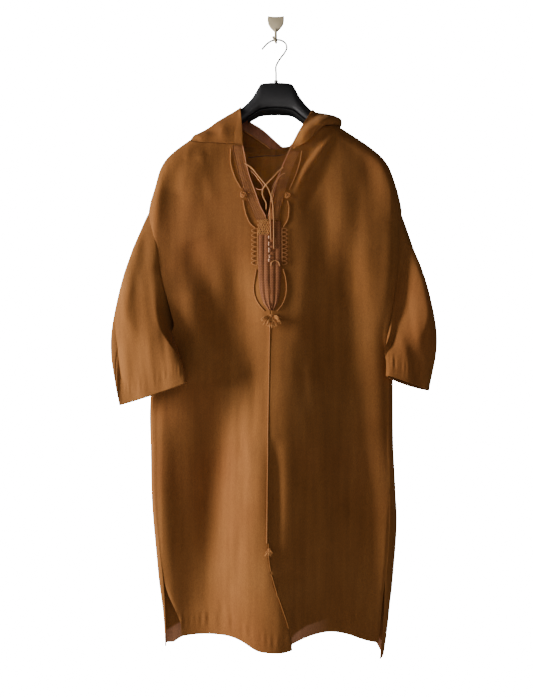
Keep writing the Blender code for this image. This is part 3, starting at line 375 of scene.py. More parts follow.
# The cloth. A crease is (width, depth, path): a soft ridge, or with a depth below 0 a soft trough, along a path
# of (x, z) as seen from in front.
frontCreases = [
    (44, -13.0, [(-196, -320), (-192, -414), (-192, -480), (-188, -545), (-180, -620)]),
    (34, -13.0, [(-180, -500), (-148, -600), (-130, -680), (-108, -740), (-100, -820)]),
    (24, 6.0, [(-250, -560), (-246, -640), (-240, -720)]),
    (38, -11.0, [(-116, -740), (-112, -850), (-116, -960), (-138, -1080), (-150, -1200), (-150, -1310)]),
    (42, 14.0, [(-276, -800), (-276, -1000), (-272, -1130), (-266, -1220), (-258, -1330)]),
    (12, -3.6, [(-80, -820), (-76, -900), (-78, -1000), (-74, -1080)]),
    (44, -9.0, [(-24, -600), (-26, -700), (-28, -780), (-32, -860), (-36, -980)]),
    (14, 4.0, [(-250, -330), (-258, -400), (-264, -480)]),
    (10, 2.4, [(-190, -290), (-196, -340), (-206, -400)]),
    (13, 2.2, [(-168, -300), (-150, -360), (-138, -420)]),
    (10, 7.5, [(37, -402), (66, -350), (106, -292), (138, -248)]),
    (13, -7.0, [(40, -346), (66, -304), (98, -262)]),
    (12, -2.0, [(56, -440), (92, -370), (130, -306)]),
    (5, -1.6, [(-172, -278), (-140, -279), (-100, -278)]),
    (26, 4.5, [(122, -330), (128, -450), (130, -560), (120, -640)]),
    (20, -4.5, [(168, -280), (174, -400), (174, -500), (170, -600)]),
    (36, 12.0, [(236, -240), (247, -400), (248, -560), (242, -700), (238, -900)]),
    (30, 12.0, [(238, -690), (244, -880), (246, -1000), (247, -1130), (244, -1290), (242, -1420)]),
    (36, 8.0, [(268, -300), (270, -370), (268, -460)]),
    (14, -1.6, [(44, -700), (62, -830), (92, -960)]),
    (46, 6.0, [(90, -760), (96, -900), (104, -1040), (110, -1180)]),
    (15, -8.0, [(-4, -930), (-2, -1060), (0, -1200)]),
    (9, -2.4, [(-60, -740), (-48, -830), (-56, -940)]),
    (8, -1.8, [(-84, -900), (-66, -990), (-72, -1080)]),
    (13, -2.0, [(-60, -1080), (-84, -1180), (-100, -1290)]),
    (6, -1.8, [(-120, -1280), (-116, -1320), (-118, -1350)]),
    (5, -1.6, [(-100, -1290), (-94, -1330), (-96, -1352)]),
    (26, 8.0, [(14, -1220), (12, -1290), (18, -1350), (18, -1420)]),
    (8, 2.4, [(24, -1290), (30, -1330), (24, -1370)]),
]
backCreases = [
    (16, 2.6, [(-180, -250), (-186, -360), (-190, -520), (-196, -700)]),
    (13, -2.0, [(-138, -300), (-146, -460), (-150, -640)]),
    (15, 2.4, [(176, -240), (190, -400), (196, -560)]),
    (17, -2.2, [(130, -420), (142, -600), (150, -820)]),
    (20, 2.4, [(-90, -620), (-104, -800), (-112, -1000), (-110, -1220)]),
    (16, -2.0, [(-30, -640), (-20, -860), (-24, -1100)]),
    (18, 2.2, [(70, -660), (84, -880), (90, -1120), (84, -1330)]),
    (15, 1.8, [(190, -820), (184, -1000), (190, -1200)]),
    (14, -1.8, [(-200, -860), (-190, -1060), (-196, -1280)]),
    (12, -2.0, [(20, -1140), (34, -1240), (40, -1350)]),
]
sleeveCreases = {
    -1: [
        (11, 1.5, [(-296, -425), (-302, -520), (-316, -600), (-332, -670), (-352, -730)]),
        (28, 9.0, [(-244, -480), (-240, -560), (-234, -640), (-226, -730), (-218, -800)]),
        (12, -1.6, [(-300, -640), (-296, -720), (-300, -800)]),
        (10, 1.6, [(-330, -720), (-322, -790), (-320, -850)]),
        (7, -1.6, [(-250, -660), (-240, -730), (-230, -800)]),
        (8, 1.4, [(-276, -700), (-270, -770), (-262, -830)]),
    ],
    1: [
        (34, 12.0, [(282, -420), (304, -500), (328, -600), (348, -700), (352, -870)]),
        (9, 2.2, [(268, -700), (284, -760), (296, -830)]),
        (8, -1.8, [(284, -600), (292, -680), (300, -740)]),
        (9, -1.2, [(318, -540), (338, -620), (350, -700)]),
        (8, 1.6, [(320, -740), (326, -790), (328, -840)]),
    ],
}
hoodCreases = {
    -1: [
        (3, -0.4, [(-93, -300), (-90, -268), (-84, -238)]),
        (6, 2.5, [(-190, -262), (-176, -270), (-158, -280)]),
        (8, -1.5, [(-170, -250), (-150, -262), (-120, -270)]),
        (10, 1.6, [(-130, -232), (-118, -256), (-112, -284)]),
    ],
    1: [
        (9, 7.0, [(132, -231), (112, -238), (84, -250), (58, -272), (46, -296)]),
        (7, -5.0, [(136, -250), (110, -262), (84, -284), (70, -304)]),
        (5, -1.4, [(96, -226), (74, -240), (56, -258)]),
    ],
}


creaseTaper = 0.7


# How far creases lift each place; each one fades toward its ends.
def creaseField(x, z, creases):
    lift = np.zeros(len(x))
    for width, depth, route in creases:
        path = np.array(route, dtype=float)
        steps = np.diff(path, axis=0)
        lengths = np.hypot(steps[:, 0], steps[:, 1])
        starts = np.concatenate(([0.0], np.cumsum(lengths)))
        nearest = np.full(len(x), np.inf)
        share = np.zeros(len(x))
        for start, step, length, before in zip(path, steps, lengths, starts):
            t = ((x - start[0]) * step[0] + (z - start[1]) * step[1]) / length**2
            t = np.clip(t, 0, 1)
            away = np.hypot(x - start[0] - t * step[0], z - start[1] - t * step[1])
            closer = away < nearest
            nearest = np.where(closer, away, nearest)
            share = np.where(closer, (before + t * length) / starts[-1], share)
        taper = np.sin(np.pi * np.clip(share, 0.0, 1.0)) ** creaseTaper
        lift += depth * taper * np.exp(-((nearest / width) ** 2))
    return lift


# Each kind of cloth's own unevenness: the random seed, and the waves' size and strength.
unevenness = {"front": (11, 70.0, 0.7), "back": (23, 80.0, 0.9), "sleeve": (40, 46.0, 1.0), "hood": (70, 40.0, 0.5)}
waves = {"count": 14, "turned": 0.5, "lengths": (0.6, 1.7), "slant": 0.45}


# Slight unevenness of hanging cloth: waves in many directions, the same each run.
def softWaves(x, z, kind, side=0):
    seed, size, strength = unevenness[kind]
    random = np.random.default_rng(seed + side)
    lift = np.zeros(len(x))
    for _ in range(waves["count"]):
        angle = random.uniform(-waves["turned"], waves["turned"])
        length = size * random.uniform(*waves["lengths"])
        phase = random.uniform(0, 2 * math.pi)
        run = (x * math.cos(angle) + z * math.sin(angle) * waves["slant"]) / length
        lift += np.sin(2 * math.pi * run + phase) * length / size
    return lift * strength / waves["count"] ** 0.5


hemPuckers = {
    "waves": 3, "spacing": 13.0, "wider": 0.37, "phases": (0, 6), "above": 30.0, "reach": 14.0, "depth": 0.9,
    "seed": 12,
}


# Small tucks where a hem is sewn, uneven in size.
def puckers(along, fromEdge, seed):
    random = np.random.default_rng(seed)
    lift = np.zeros(len(along))
    for k in range(hemPuckers["waves"]):
        pitch = hemPuckers["spacing"] * (1 + hemPuckers["wider"] * k)
        phase = random.uniform(*hemPuckers["phases"])
        lift += np.sin(2 * math.pi * along / pitch + phase) / hemPuckers["waves"]
    near = np.exp(-(((fromEdge - hemPuckers["above"]) / hemPuckers["reach"]) ** 2))
    return lift * near * hemPuckers["depth"]


hemLine = {
    "x": [-260, -228, -200, -170, -140, -112, -78, -48, -24, -4, 28, 40, 66, 110, 150, 196, 226, 262],
    "z": [-1366, -1366, -1362, -1358, -1354, -1356, -1362, -1376, -1386, -1390, -1386, -1372, -1358, -1350, -1354,
          -1366, -1380, -1400],
}
insideBack = {"from": -84.0, "run": 8.0}
# Where the painted light on the turned-up hem lies.
paintedHemLightBand = {"height": 28.0, "blur": 3.0, "from": 30.0, "rise": 4.0, "to": 115.0, "fall": 70.0}


# How much a place lies on a turned-up hem that shows: inside the back, and right of the centre seam. These bands are
# coloured lighter as painted light from the window.
def markPaintedHemLight(piece, x, y, above):
    inBack = ramp(y, insideBack["from"], insideBack["run"])
    inFront = ramp(x, paintedHemLightBand["from"], paintedHemLightBand["rise"]) * ramp(-x, -paintedHemLightBand["to"], paintedHemLightBand["fall"])
    band = ramp(-above, -paintedHemLightBand["height"], paintedHemLightBand["blur"])
    layer = piece.data.attributes.new("fold", "FLOAT", "POINT")
    layer.data.foreach_set("value", band * np.maximum(inBack, inFront))


cornerDrop = {"below": 1290.0, "run": 70.0, "curve": 1.4}
corners = {
    -1: {"from": 198.0, "to": 240.0, "drop": 24.0, "lowest": -1384.0},
    1: {"from": 208.0, "to": 236.0, "drop": 36.0, "lowest": -1402.0},
}


# The back's corners hang lower than the fronts.
def dropCorners(places):
    x, y, z = places.T
    near = ramp(-z, cornerDrop["below"], cornerDrop["run"]) * ramp(y, insideBack["from"], insideBack["run"])
    for side, corner in corners.items():
        share = ramp(side * x, corner["from"], corner["to"] - corner["from"]) ** cornerDrop["curve"]
        lower = np.maximum(z - corner["drop"] * share * near, corner["lowest"])
        places[:, 2] = np.where(side * x > corner["from"], np.minimum(z, lower), places[:, 2])


# Where the creases are held back: on the placket, troughs on the hanger, and toward the sides. The back wraps a
# little to the front at both sides, and moves with the front there.
hold = {
    "placket": -12.0, "placketHalf": 46.0, "placketFoot": -680.0, "onPlacket": 0.6,
    "hangerFoot": -400.0, "hangerRun": 60.0, "onHanger": 0.75,
    "sideFrom": 248.0, "sideRun": 40.0, "atSide": 0.6,
    "wrapFrom": 62.0, "wrapRun": 14.0,
}


def bodyLift(x, y, z, tucks):
    front = creaseField(x, z, frontCreases) + softWaves(x, z, "front") + tucks
    placket = np.exp(-(((x - hold["placket"]) / hold["placketHalf"]) ** 4)) * (z > hold["placketFoot"])
    front *= 1 - hold["onPlacket"] * placket
    overHanger = ramp(z, hold["hangerFoot"], hold["hangerRun"])
    front = np.where(front < 0, front * (1 - hold["onHanger"] * overHanger), front)
    back = creaseField(x, z, backCreases) + softWaves(x, z, "back") + tucks
    forward = ramp(-y, hold["wrapFrom"], hold["wrapRun"])
    edge = 1 - ramp(np.abs(x), hold["sideFrom"], hold["sideRun"]) * hold["atSide"]
    return (front * forward - back * (1 - forward)) * edge


def shapeBody(piece):
    places = points(piece)
    x, y, z = places.T
    hem = np.interp(x, hemLine["x"], hemLine["z"])
    markPaintedHemLight(piece, x, y, z - hem)
    places[:, 1] -= bodyLift(x, y, z, puckers(x, z - hem, hemPuckers["seed"]))
    dropCorners(places)
    setPoints(piece, places)


# The sleeves' fronts face the window a little, and their heads are set under the body's edge and move with it.
sleeveShape = {
    "half": 7.0, "middle": 290.0, "tiltRun": 110.0, "tucksWider": 1.6, "tucksLower": 4.0, "tuckSeed": 60,
    "headFoot": -650.0, "headRun": 80.0, "headEnd": 286.0, "headFade": 30.0, "held": 0.9,
    "tuckFoot": -560.0, "tuckRun": 60.0, "inward": 8.0, "up": 7.0, "under": 1.8,
}
sleeves = {
    -1: {"slope": 0.16, "below": 490.0, "x": [-345, -300, -260, -190], "z": [-862, -852, -838, -806]},
    1: {"slope": 0.20, "below": 430.0, "x": [235, 270, 300, 345], "z": [-792, -806, -822, -832]},
}


def shapeSleeve(piece, side):
    form, sleeve = sleeveShape, sleeves[side]
    places = points(piece)
    x, y, z = places.T
    fit = np.linalg.lstsq(np.column_stack([np.ones(len(x)), x, z]), y, rcond=None)[0]
    half = np.clip((y - (fit[0] + fit[1] * x + fit[2] * z)) / form["half"], -1, 1)
    lift = creaseField(x, z, sleeveCreases[side]) + softWaves(x, z, "sleeve", side)
    lift += sleeve["slope"] * (x - side * form["middle"]) * ramp(-z, sleeve["below"], form["tiltRun"])
    cuff = np.interp(x, sleeve["x"], sleeve["z"])
    lift += puckers(x * form["tucksWider"], z - cuff - form["tucksLower"], form["tuckSeed"] + side)
    head = ramp(z, form["headFoot"], form["headRun"]) * ramp(-side * x, -form["headEnd"], form["headFade"])
    tuck = head * ramp(z, form["tuckFoot"], form["tuckRun"])
    places[:, 1] += half * lift * (1 - form["held"] * head) - bodyLift(x, y, z, 0) * head
    places[:, 1] -= half * form["under"] * tuck
    places[:, 0] -= side * form["inward"] * tuck
    places[:, 2] += form["up"] * tuck
    setPoints(piece, places)


hoodFront = {"from": 60.0, "run": 12.0}
crownReach = 9.0


# The folds of the hood where it lies on the shoulders.
def shapeHood(piece, side):
    places = points(piece)
    x, y, z = places.T
    lift = creaseField(x, z, hoodCreases[side]) + softWaves(x, z, "hood", side)
    places[:, 1] -= lift * ramp(-y, hoodFront["from"], hoodFront["run"])
    setPoints(piece, places)


# The hood's halves and the bands in its rim meet in one seam at the crown.
def closeCrown(piece):
    places = points(piece)
    away = np.abs(places[:, 0])
    nearest = away.min()
    moved = (away - nearest) * crownReach / (crownReach - nearest)
    places[:, 0] = np.where(away < crownReach, np.sign(places[:, 0]) * moved, places[:, 0])
    setPoints(piece, places)


# Each cloth node's piece, with its flat width and length in metres and its area in square metres.
clothPieces = {
    "front_left": ("frontLeft", 0.29, 1.14, 0.28),
    "front_right": ("frontRight", 0.30, 1.16, 0.30),
    "back": ("backCloth", 0.60, 1.16, 0.62),
    "sleeve_left": ("sleeveLeft", 0.32, 0.42, 0.091),
    "sleeve_right": ("sleeveRight", 0.28, 0.41, 0.075),
    "hood_left": ("hoodLeft", 0.27, 0.42, 0.08),
    "hood_right": ("hoodRight", 0.25, 0.42, 0.065),
}
clothLevels = 3


def makeCloth(nodeName, name):
    piece = nodeCopy(nodeName, name)
    keepRims(piece)
    subdivide(piece, clothLevels)
    side = -1 if name.endswith("Left") else 1
    material = bodyWool
    if name.startswith("hood"):
        closeCrown(piece)
        shapeHood(piece, side)
    elif name.startswith("sleeve"):
        shapeSleeve(piece, side)
        material = sleeveWool[side]
    else:
        shapeBody(piece)
    return finishMesh(piece, meshRules["smooth"], material, "wool", nodeName)


cloth = {name: makeCloth(nodeName, name) for nodeName, (name, *_) in clothPieces.items()}
print("cloth ready", {name: len(piece.data.polygons) for name, piece in cloth.items()})


# What lies on the front is laid on the finished cloth

def skinOf(pieces):
    trees = []
    for piece in pieces:
        corners = [vertex.co.copy() for vertex in piece.data.vertices]
        trees.append(BVHTree.FromPolygons(corners, [tuple(face.vertices) for face in piece.data.polygons]))
    return trees


fineFront = skinOf([cloth["frontLeft"], cloth["frontRight"]])
plainFront = skinOf([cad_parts["front_left"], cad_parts["front_right"]])
# Where rays to the front start, the steps beside a gap, and the most that the creases move the front.
search = {"start": -1000.0, "first": 2.0, "step": 4.0, "last": 60.0, "moved": 14.0}


# Where the first of the given skins is met from in front, and its direction there; None beside them.
def hitFront(trees, x, z):
    for tree in trees:
        place, facing, _, _ = tree.ray_cast(Vector((x, search["start"], z)) * mm, Vector((0, 1, 0)))
        if place is not None:
            return place / mm, facing
    return None


# A point this far off the front's cloth; over the slit and the seam it keeps to their edges' level.
def onFront(x, z, lift):
    met = hitFront(fineFront, x, z)
    reach = search["first"]
    while met is None and reach < search["last"]:
        sides = [side for side in (hitFront(fineFront, x + reach, z), hitFront(fineFront, x - reach, z)) if side]
        if sides:
            met = (Vector((x, sum(place.y for place, _ in sides) / len(sides), z)), sides[0][1])
        reach += search["step"]
    place, facing = met
    if facing.y > 0:
        facing = -facing
    return Vector((x, place.y, z)) + facing * lift


# Moves a copied trim with the cloth that it lies on.
def settle(piece):
    places = points(piece)
    for place in places:
        fine, plain = hitFront(fineFront, place[0], place[2]), hitFront(plainFront, place[0], place[2])
        if fine and plain and abs(fine[0].y - plain[0].y) < search["moved"]:
            place[1] += fine[0].y - plain[0].y
    setPoints(piece, places)


# A UV map with metres across and along the braid, from one value for each point.
def addBraidMap(piece, across, along):
    layer = piece.data.uv_layers.new(name="braid")
    for loop in piece.data.loops:
        layer.data[loop.index].uv = (across[loop.vertex_index] * mm, along[loop.vertex_index] * mm)


edgeRows = {"count": 14, "inside": 1.0, "reach": 0.75}


# The left and right edges of a trim that runs down the front, at a row of heights.
def edgeLines(places):
    z = places[:, 2]
    levels = np.linspace(z.min() + edgeRows["inside"], z.max() - edgeRows["inside"], edgeRows["count"])
    spread = (z.max() - z.min()) / edgeRows["count"] * edgeRows["reach"]
    near = [places[np.abs(z - level) < spread][:, 0] for level in levels]
    return levels, [row.min() for row in near], [row.max() for row in near]


frontTrims = {
    "slit_band_left": {"ribs": 6, "height": 0.45, "material": bandBraid},
    "slit_band_right": {"ribs": 6, "height": 0.45, "material": bandBraid},
    "braid_panel": {"ribs": 8, "height": 0.35, "material": panelBraid},
}
trimRules = {"levels": 3, "ribWidth": 4.0, "facing": -0.4, "smooth": 60}


# A braid strip with raised ribs down it.
def ribbedTrim(nodeName, trim):
    piece = nodeCopy(nodeName, camelName(nodeName))
    subdivide(piece, trimRules["levels"], subdivision_type="SIMPLE")
    places = points(piece)
    heights, left, right = edgeLines(places)
    leftEdge = np.interp(places[:, 2], heights, left)
    rightEdge = np.interp(places[:, 2], heights, right)
    share = np.clip((places[:, 0] - leftEdge) / np.maximum(rightEdge - leftEdge, 1.0), 0, 1)
    outward = readPoints(piece, "normal")[:, 1] < trimRules["facing"]
    places[:, 1] -= outward * trim["height"] * np.abs(np.sin(np.pi * trim["ribs"] * share))
    setPoints(piece, places)
    settle(piece)
    addBraidMap(piece, share * trim["ribs"] * trimRules["ribWidth"], places[:, 2])
    finishMesh(piece, trimRules["smooth"], trim["material"], "braid", nodeName)


def rimBand(nodeName):
    piece = nodeCopy(nodeName, camelName(nodeName))
    keepRims(piece)
    subdivide(piece, trimRules["levels"])
    closeCrown(piece)
    x, y, z = points(piece).T
    addBraidMap(piece, z, x)
    return finishMesh(piece, trimRules["smooth"], rimBraid, "braid", nodeName)


for nodeName, trim in frontTrims.items():
    ribbedTrim(nodeName, trim)
rimBands = [rimBand("rim_band_left"), rimBand("rim_band_right")]
print("braid ready")

neckBack = skinOf([cloth["hoodLeft"], cloth["hoodRight"], cloth["backCloth"], *rimBands])
neckSearch = {"start": -57.0, "step": 2.0}


# A point on what shows behind the neck's opening, or below where nothing does.
def inNeck(x, z, lift):
    while True:
        hits = [tree.ray_cast(Vector((x, neckSearch["start"], z)) * mm, Vector((0, 1, 0)))[0] for tree in neckBack]
        found = [place.y / mm for place in hits if place is not None]
        if found:
            return Vector((x, min(found) - lift, z))
        z -= neckSearch["step"]


# Cords

# How far along its line each point lies.
def runOf(line):
    return np.concatenate(([0.0], np.cumsum(np.linalg.norm(np.diff(line, axis=0), axis=1))))


# This many points at an even spacing along a line, and how far along it they lie.
def evenPoints(line, count):
    run = runOf(line)
    wanted = np.linspace(0, run[-1], count)
    return np.column_stack([np.interp(wanted, run, line[:, axis]) for axis in range(3)]), wanted


# Points at an even spacing along a smooth curve through the controls.
def smoothRoute(controls, spacing, steps=16):
    controls = np.array([tuple(point) for point in controls], dtype=float)
    lengths = runOf(controls)
    slopes = np.gradient(controls, lengths, axis=0)
    fine = []
    for k in range(len(controls) - 1):
        step = lengths[k + 1] - lengths[k]
        for t in np.linspace(0, 1, steps, endpoint=False):
            start = (2 * t**3 - 3 * t**2 + 1) * controls[k] + (t**3 - 2 * t**2 + t) * step * slopes[k]
            end = (3 * t**2 - 2 * t**3) * controls[k + 1] + (t**3 - t**2) * step * slopes[k + 1]
            fine.append(start + end)
    fine = np.array([*fine, controls[-1]])
    return evenPoints(fine, max(3, round(runOf(fine)[-1] / spacing)) + 1)[0]


# A round cord as a curve of one spline.
def tube(name, route, radius, material, sides, cyclic=False):
    curve = bpy.data.curves.new(name, "CURVE")
    setValues(curve, {
        "dimensions": "3D", "bevel_depth": radius * mm, "bevel_resolution": sides, "use_fill_caps": not cyclic,
    })
    spline = curve.splines.new("POLY")
    spline.points.add(len(route) - 1)
    for place, point in zip(route, spline.points):
        point.co = (*(np.array(place) * mm), 1.0)
    spline.use_cyclic_u = cyclic
    spline.use_smooth = True
    curve.materials.append(material)
    return newObject(name, curve)


def curveToMesh(piece):
    selectOnly(piece)
    bpy.ops.object.convert(target="MESH")
    return bpy.context.view_layer.objects.active


def joined(pieces, name):
    selectOnly(pieces[0])
    for piece in pieces[1:]:
        piece.select_set(True)
    bpy.ops.object.join()
    pieces[0].name = name
    return pieces[0]


# Joins meshes into one finished cord piece.
def joinedCord(parts, name, *nodes):
    piece = joined(parts, name)
    smoothShade(piece)
    return finishPiece(piece, "cord", *nodes)


plait = {"pointsPerTurn": 8, "reach": 0.48, "strand": 0.56}


# Two strands twisted round each other along a route of even points.
def plaitedCord(name, route, radius, pitch, *nodes):
    route = np.array([tuple(point) for point in route])
    middle, run = evenPoints(route, int(runOf(route)[-1] / pitch * plait["pointsPerTurn"]) + 2)
    way = np.gradient(middle, axis=0)
    way /= np.linalg.norm(way, axis=1)[:, None]
    side = np.cross(way, [0.0, -1.0, 0.0])
    side /= np.linalg.norm(side, axis=1)[:, None]
    out = np.cross(side, way)
    strands = []
    for number in range(2):
        turn = 2 * math.pi * run / pitch + math.pi * number
        line = middle + (side * np.cos(turn)[:, None] + out * np.sin(turn)[:, None]) * radius * plait["reach"]
        strands.append(curveToMesh(tube(f"{name}{number}", line, radius * plait["strand"], cordThread, 1)))
    return joinedCord(strands, name, *nodes)


# Heights in the tables of cords and trims are this much above the frame's, but not the neck's and lower seam's.
datum = 24.6


def frontPoint(x, height, lift):
    return onFront(x, height - datum, lift)


def frontLine(route, spacing):
    return smoothRoute([frontPoint(*place) for place in route], spacing)


# The sewn outline cords, as (x, height)
outlineCord = {"lift": 1.5, "spacing": 3.0, "radius": 1.25, "pitch": 4.6}
outlineRoutes = {
    "outline_cord_upper_left": [
        (-98.5, -278), (-99, -304), (-94.5, -326), (-86, -347), (-79, -359), (-76.5, -364),
    ],
    "outline_cord_middle_left": [(-71.8, -390), (-68.5, -408), (-63.5, -426), (-56, -441), (-45, -451)],
    "outline_cord_upper_right": [(55, -283), (51, -308), (44, -332), (35, -354), (28.5, -368)],
    "outline_cord_middle_right": [(24.5, -393), (27.5, -403), (27.5, -419), (24, -436), (16, -449)],
    "outline_cord_lower_left": [
        (-42.5, -541), (-46, -562), (-48, -582), (-45, -600), (-39, -613), (-32, -623), (-25, -631),
    ],
    "outline_cord_lower_right": [(15, -541), (20.5, -562), (22, -582), (19.5, -601), (11, -620), (2, -631)],
}
for nodeName, route in outlineRoutes.items():
    line = frontLine([(x, z, outlineCord["lift"]) for x, z in route], outlineCord["spacing"])
    plaitedCord(camelName(nodeName), line, outlineCord["radius"], outlineCord["pitch"], nodeName)

# The free laces, as (x, height, underside above the cloth)
laceRadius = 1.2
laceSpacing = 4.0
laces = {
    "lace_long": [
        (-68, -311, 2.3), (-61, -315, 3.2), (-52, -323, 5.5), (-42, -335, 7.5), (-30.7, -349, 8.2),
        (-15.6, -370, 8.4), (-8.5, -390, 7.6), (-5.5, -424, 4.6), (-5, -460, 3.7), (-4.8, -497, 3.7),
    ],
    "lace_short": [
        (15, -320, 2.3), (8, -327, 3.6), (-6, -343, 8), (-20, -359, 12), (-29, -370, 12), (-28, -384, 9.5),
        (-20.5, -399, 6.5), (-21, -412, 5),
    ],
    "lace_right": [
        (19, -333, 2.3), (11, -337, 3.4), (4, -346, 4.4), (-4, -362, 4.6), (-9.1, -378, 4.2),
        (-12.2, -402, 4), (-12.6, -430, 3.8), (-11.8, -455, 3.7), (-11.3, -477, 3.7),
    ],
}
for nodeName, route in laces.items():
    line = frontLine([(x, z, above + laceRadius) for x, z, above in route], laceSpacing)
    lace = finishPiece(tube(camelName(nodeName), line, laceRadius, laceThread, 4), "cord", nodeName)
print("cords ready")


# Knots, loops and tassels

knots = {
    "knot_left": {"place": (-71.0, -378.0, 4.0), "size": 4.2},
    "knot_right": {"place": (24.5, -381.0, 3.0), "size": 3.7},
}
knotShape = {"points": 72, "lobes": 0.42, "deep": 1.0, "tall": 1.15, "radius": 1.15}
for nodeName, knot in knots.items():
    centre = frontPoint(*knot["place"])
    route = []
    for turn in np.linspace(0, 2 * math.pi, knotShape["points"], endpoint=False):
        reach = knot["size"] * (1 + knotShape["lobes"] * math.cos(3 * turn))
        route.append((centre.x + reach * math.cos(2 * turn), centre.y - knotShape["deep"] * math.sin(3 * turn),
                      centre.z + knotShape["tall"] * reach * math.sin(2 * turn)))
    finishPiece(tube(camelName(nodeName), route, knotShape["radius"], cordThread, 2, cyclic=True), "cord", nodeName)

ladders = {
    "loop_ladder_left": {"inner": -40.0, "outer": -53.0, "loops": 8, "thread": cordThread},
    "loop_ladder_right": {"inner": 13.0, "outer": 24.0, "loops": 9, "thread": paintedShadeThread},
# The right ladder's darker thread is painted shade.
}
ladderShape = {
    "top": -452.0, "bottom": -532.0, "lean": 0.15, "lift": 1.5, "arch": 0.8, "loopRadius": 0.75, "stemLift": 1.6,
    "stemRadius": 0.9, "loopPoints": 12, "stemPoints": 24,
}
for nodeName, ladder in ladders.items():
    top, bottom = ladderShape["top"], ladderShape["bottom"]
    pitch = (top - bottom) / ladder["loops"]
    reach = ladder["outer"] - ladder["inner"]
    route = []
    for number in range(ladder["loops"]):
        for share in np.linspace(0, 1, ladderShape["loopPoints"], endpoint=False):
            turn = 2 * math.pi * share
            x = ladder["inner"] + reach * (0.5 - 0.5 * math.cos(turn))
            z = top - pitch * (number + share - ladderShape["lean"] * math.sin(turn))
            route.append(frontPoint(x, z, ladderShape["lift"] + ladderShape["arch"] * math.sin(turn / 2)))
    heights = np.linspace(top, bottom, ladderShape["stemPoints"])
    stem = [frontPoint(ladder["inner"], z, ladderShape["stemLift"]) for z in heights]
    parts = [(route, ladderShape["loopRadius"]), (stem, ladderShape["stemRadius"])]
    parts = [curveToMesh(tube("ladder", line, radius, ladder["thread"], 2)) for line, radius in parts]
    joinedCord(parts, camelName(nodeName), nodeName)

tassels = {
    "panel_tassel": {
        "place": (-10.0, -643.0, 4.2), "strands": 80, "head": 6.5, "reach": (9, 24), "spread": 1.9, "radius": 0.75,
        "seed": 7, "woundSize": 5.0, "turns": 4, "woundRadius": 1.1,
    },
    "seam_tassel": {
        "place": (-15.7, -1140.0, 2.6), "strands": 26, "head": 3.0, "reach": (7, 16), "spread": 1.0, "radius": 0.6,
        "seed": 9, "woundSize": 2.8, "turns": 3, "woundRadius": 0.8,
    },
}
tuft = {
    "steps": 6, "forward": (-0.25, -0.5), "root": (0.72, 0.3, 0.36), "stray": 0.35, "rise": 0.10, "sway": 0.12,
    "fall": -0.16, "lift": 0.9,
}


# The loose strands of a tassel, which fan out and fall.
def strandTuft(centre, tassel):
    random = np.random.default_rng(tassel["seed"])
    parts = []
    for _ in range(tassel["strands"]):
        angle = random.uniform(-tassel["spread"], tassel["spread"])
        reach = random.uniform(*tassel["reach"])
        forward = random.uniform(0.0, 1.0)
        way = np.array([math.sin(angle), tuft["forward"][0] + tuft["forward"][1] * forward, -math.cos(angle)])
        place = np.array(tuple(centre)) + way * tassel["head"] * np.array(tuft["root"])
        route = [place.copy()]
        for _ in range(tuft["steps"]):
            stray = random.uniform(-tuft["stray"], tuft["stray"])
            way = way + np.array([stray, tuft["rise"] + random.uniform(-tuft["sway"], tuft["sway"]), tuft["fall"]])
            way /= np.linalg.norm(way)
            place = place + way * reach / tuft["steps"]
            place[1] = min(place[1], onFront(place[0], place[2], tuft["lift"]).y)
            route.append(place.copy())
        parts.append(curveToMesh(tube("strand", route, tassel["radius"], tasselThread, 1)))
    return parts


wound = {"pointsPerTurn": 14, "from": 0.15, "run": 0.7, "deep": 0.6, "tall": 0.8}


# The thread wound round a tassel's head.
def woundHead(centre, tassel):
    size, count = tassel["woundSize"], tassel["turns"] * wound["pointsPerTurn"]
    route = []
    for k in range(count):
        turn = 2 * math.pi * k / wound["pointsPerTurn"]
        reach = size * math.sin(math.pi * (wound["from"] + wound["run"] * k / count))
        route.append((centre.x + reach * math.cos(turn), centre.y + wound["deep"] * reach * math.sin(turn),
                      centre.z + size * wound["tall"] * (1 - 2 * k / count)))
    return curveToMesh(tube("head", route, tassel["woundRadius"], cordThread, 2))


for nodeName, tassel in tassels.items():
    centre = frontPoint(*tassel["place"])
    joinedCord([*strandTuft(centre, tassel), woundHead(centre, tassel)], camelName(nodeName), nodeName)

# Pale stitches down the panel, as (x, height, half length), each through points of (x, share of half, lift)
paleStitches = [(-15.5, -472, 2.2), (-15.5, -486, 3.4), (-15.2, -500, 4.6), (-15.5, -513, 2.6), (-15.3, -522, 2.6)]
stitchPath = [(-0.4, 1.0, 3.4), (0.5, 0.5, 4.6), (-0.3, -0.5, 4.6), (0.4, -1.0, 3.4)]
stitch = {"spacing": 0.8, "radius": 1.5}
parts = []
for x, z, half in paleStitches:
    line = frontLine([(x + aside, z + half * share, lift) for aside, share, lift in stitchPath], stitch["spacing"])
    parts.append(curveToMesh(tube("stitch", line, stitch["radius"], paleThread, 2)))
joinedCord(parts, "paleStitches")

# The worked patch below the slit: rows of small open loops
workedPatch = {
    "left": -38.0, "right": -14.0, "top": -436.0, "bottom": -468.0, "rows": 7, "columns": 5, "stray": 1.0,
    "reach": (1.6, 2.6), "lean": 0.8, "open": 0.2, "points": 9, "lift": 3.6, "arch": 0.5, "radius": 0.8, "seed": 3,
}


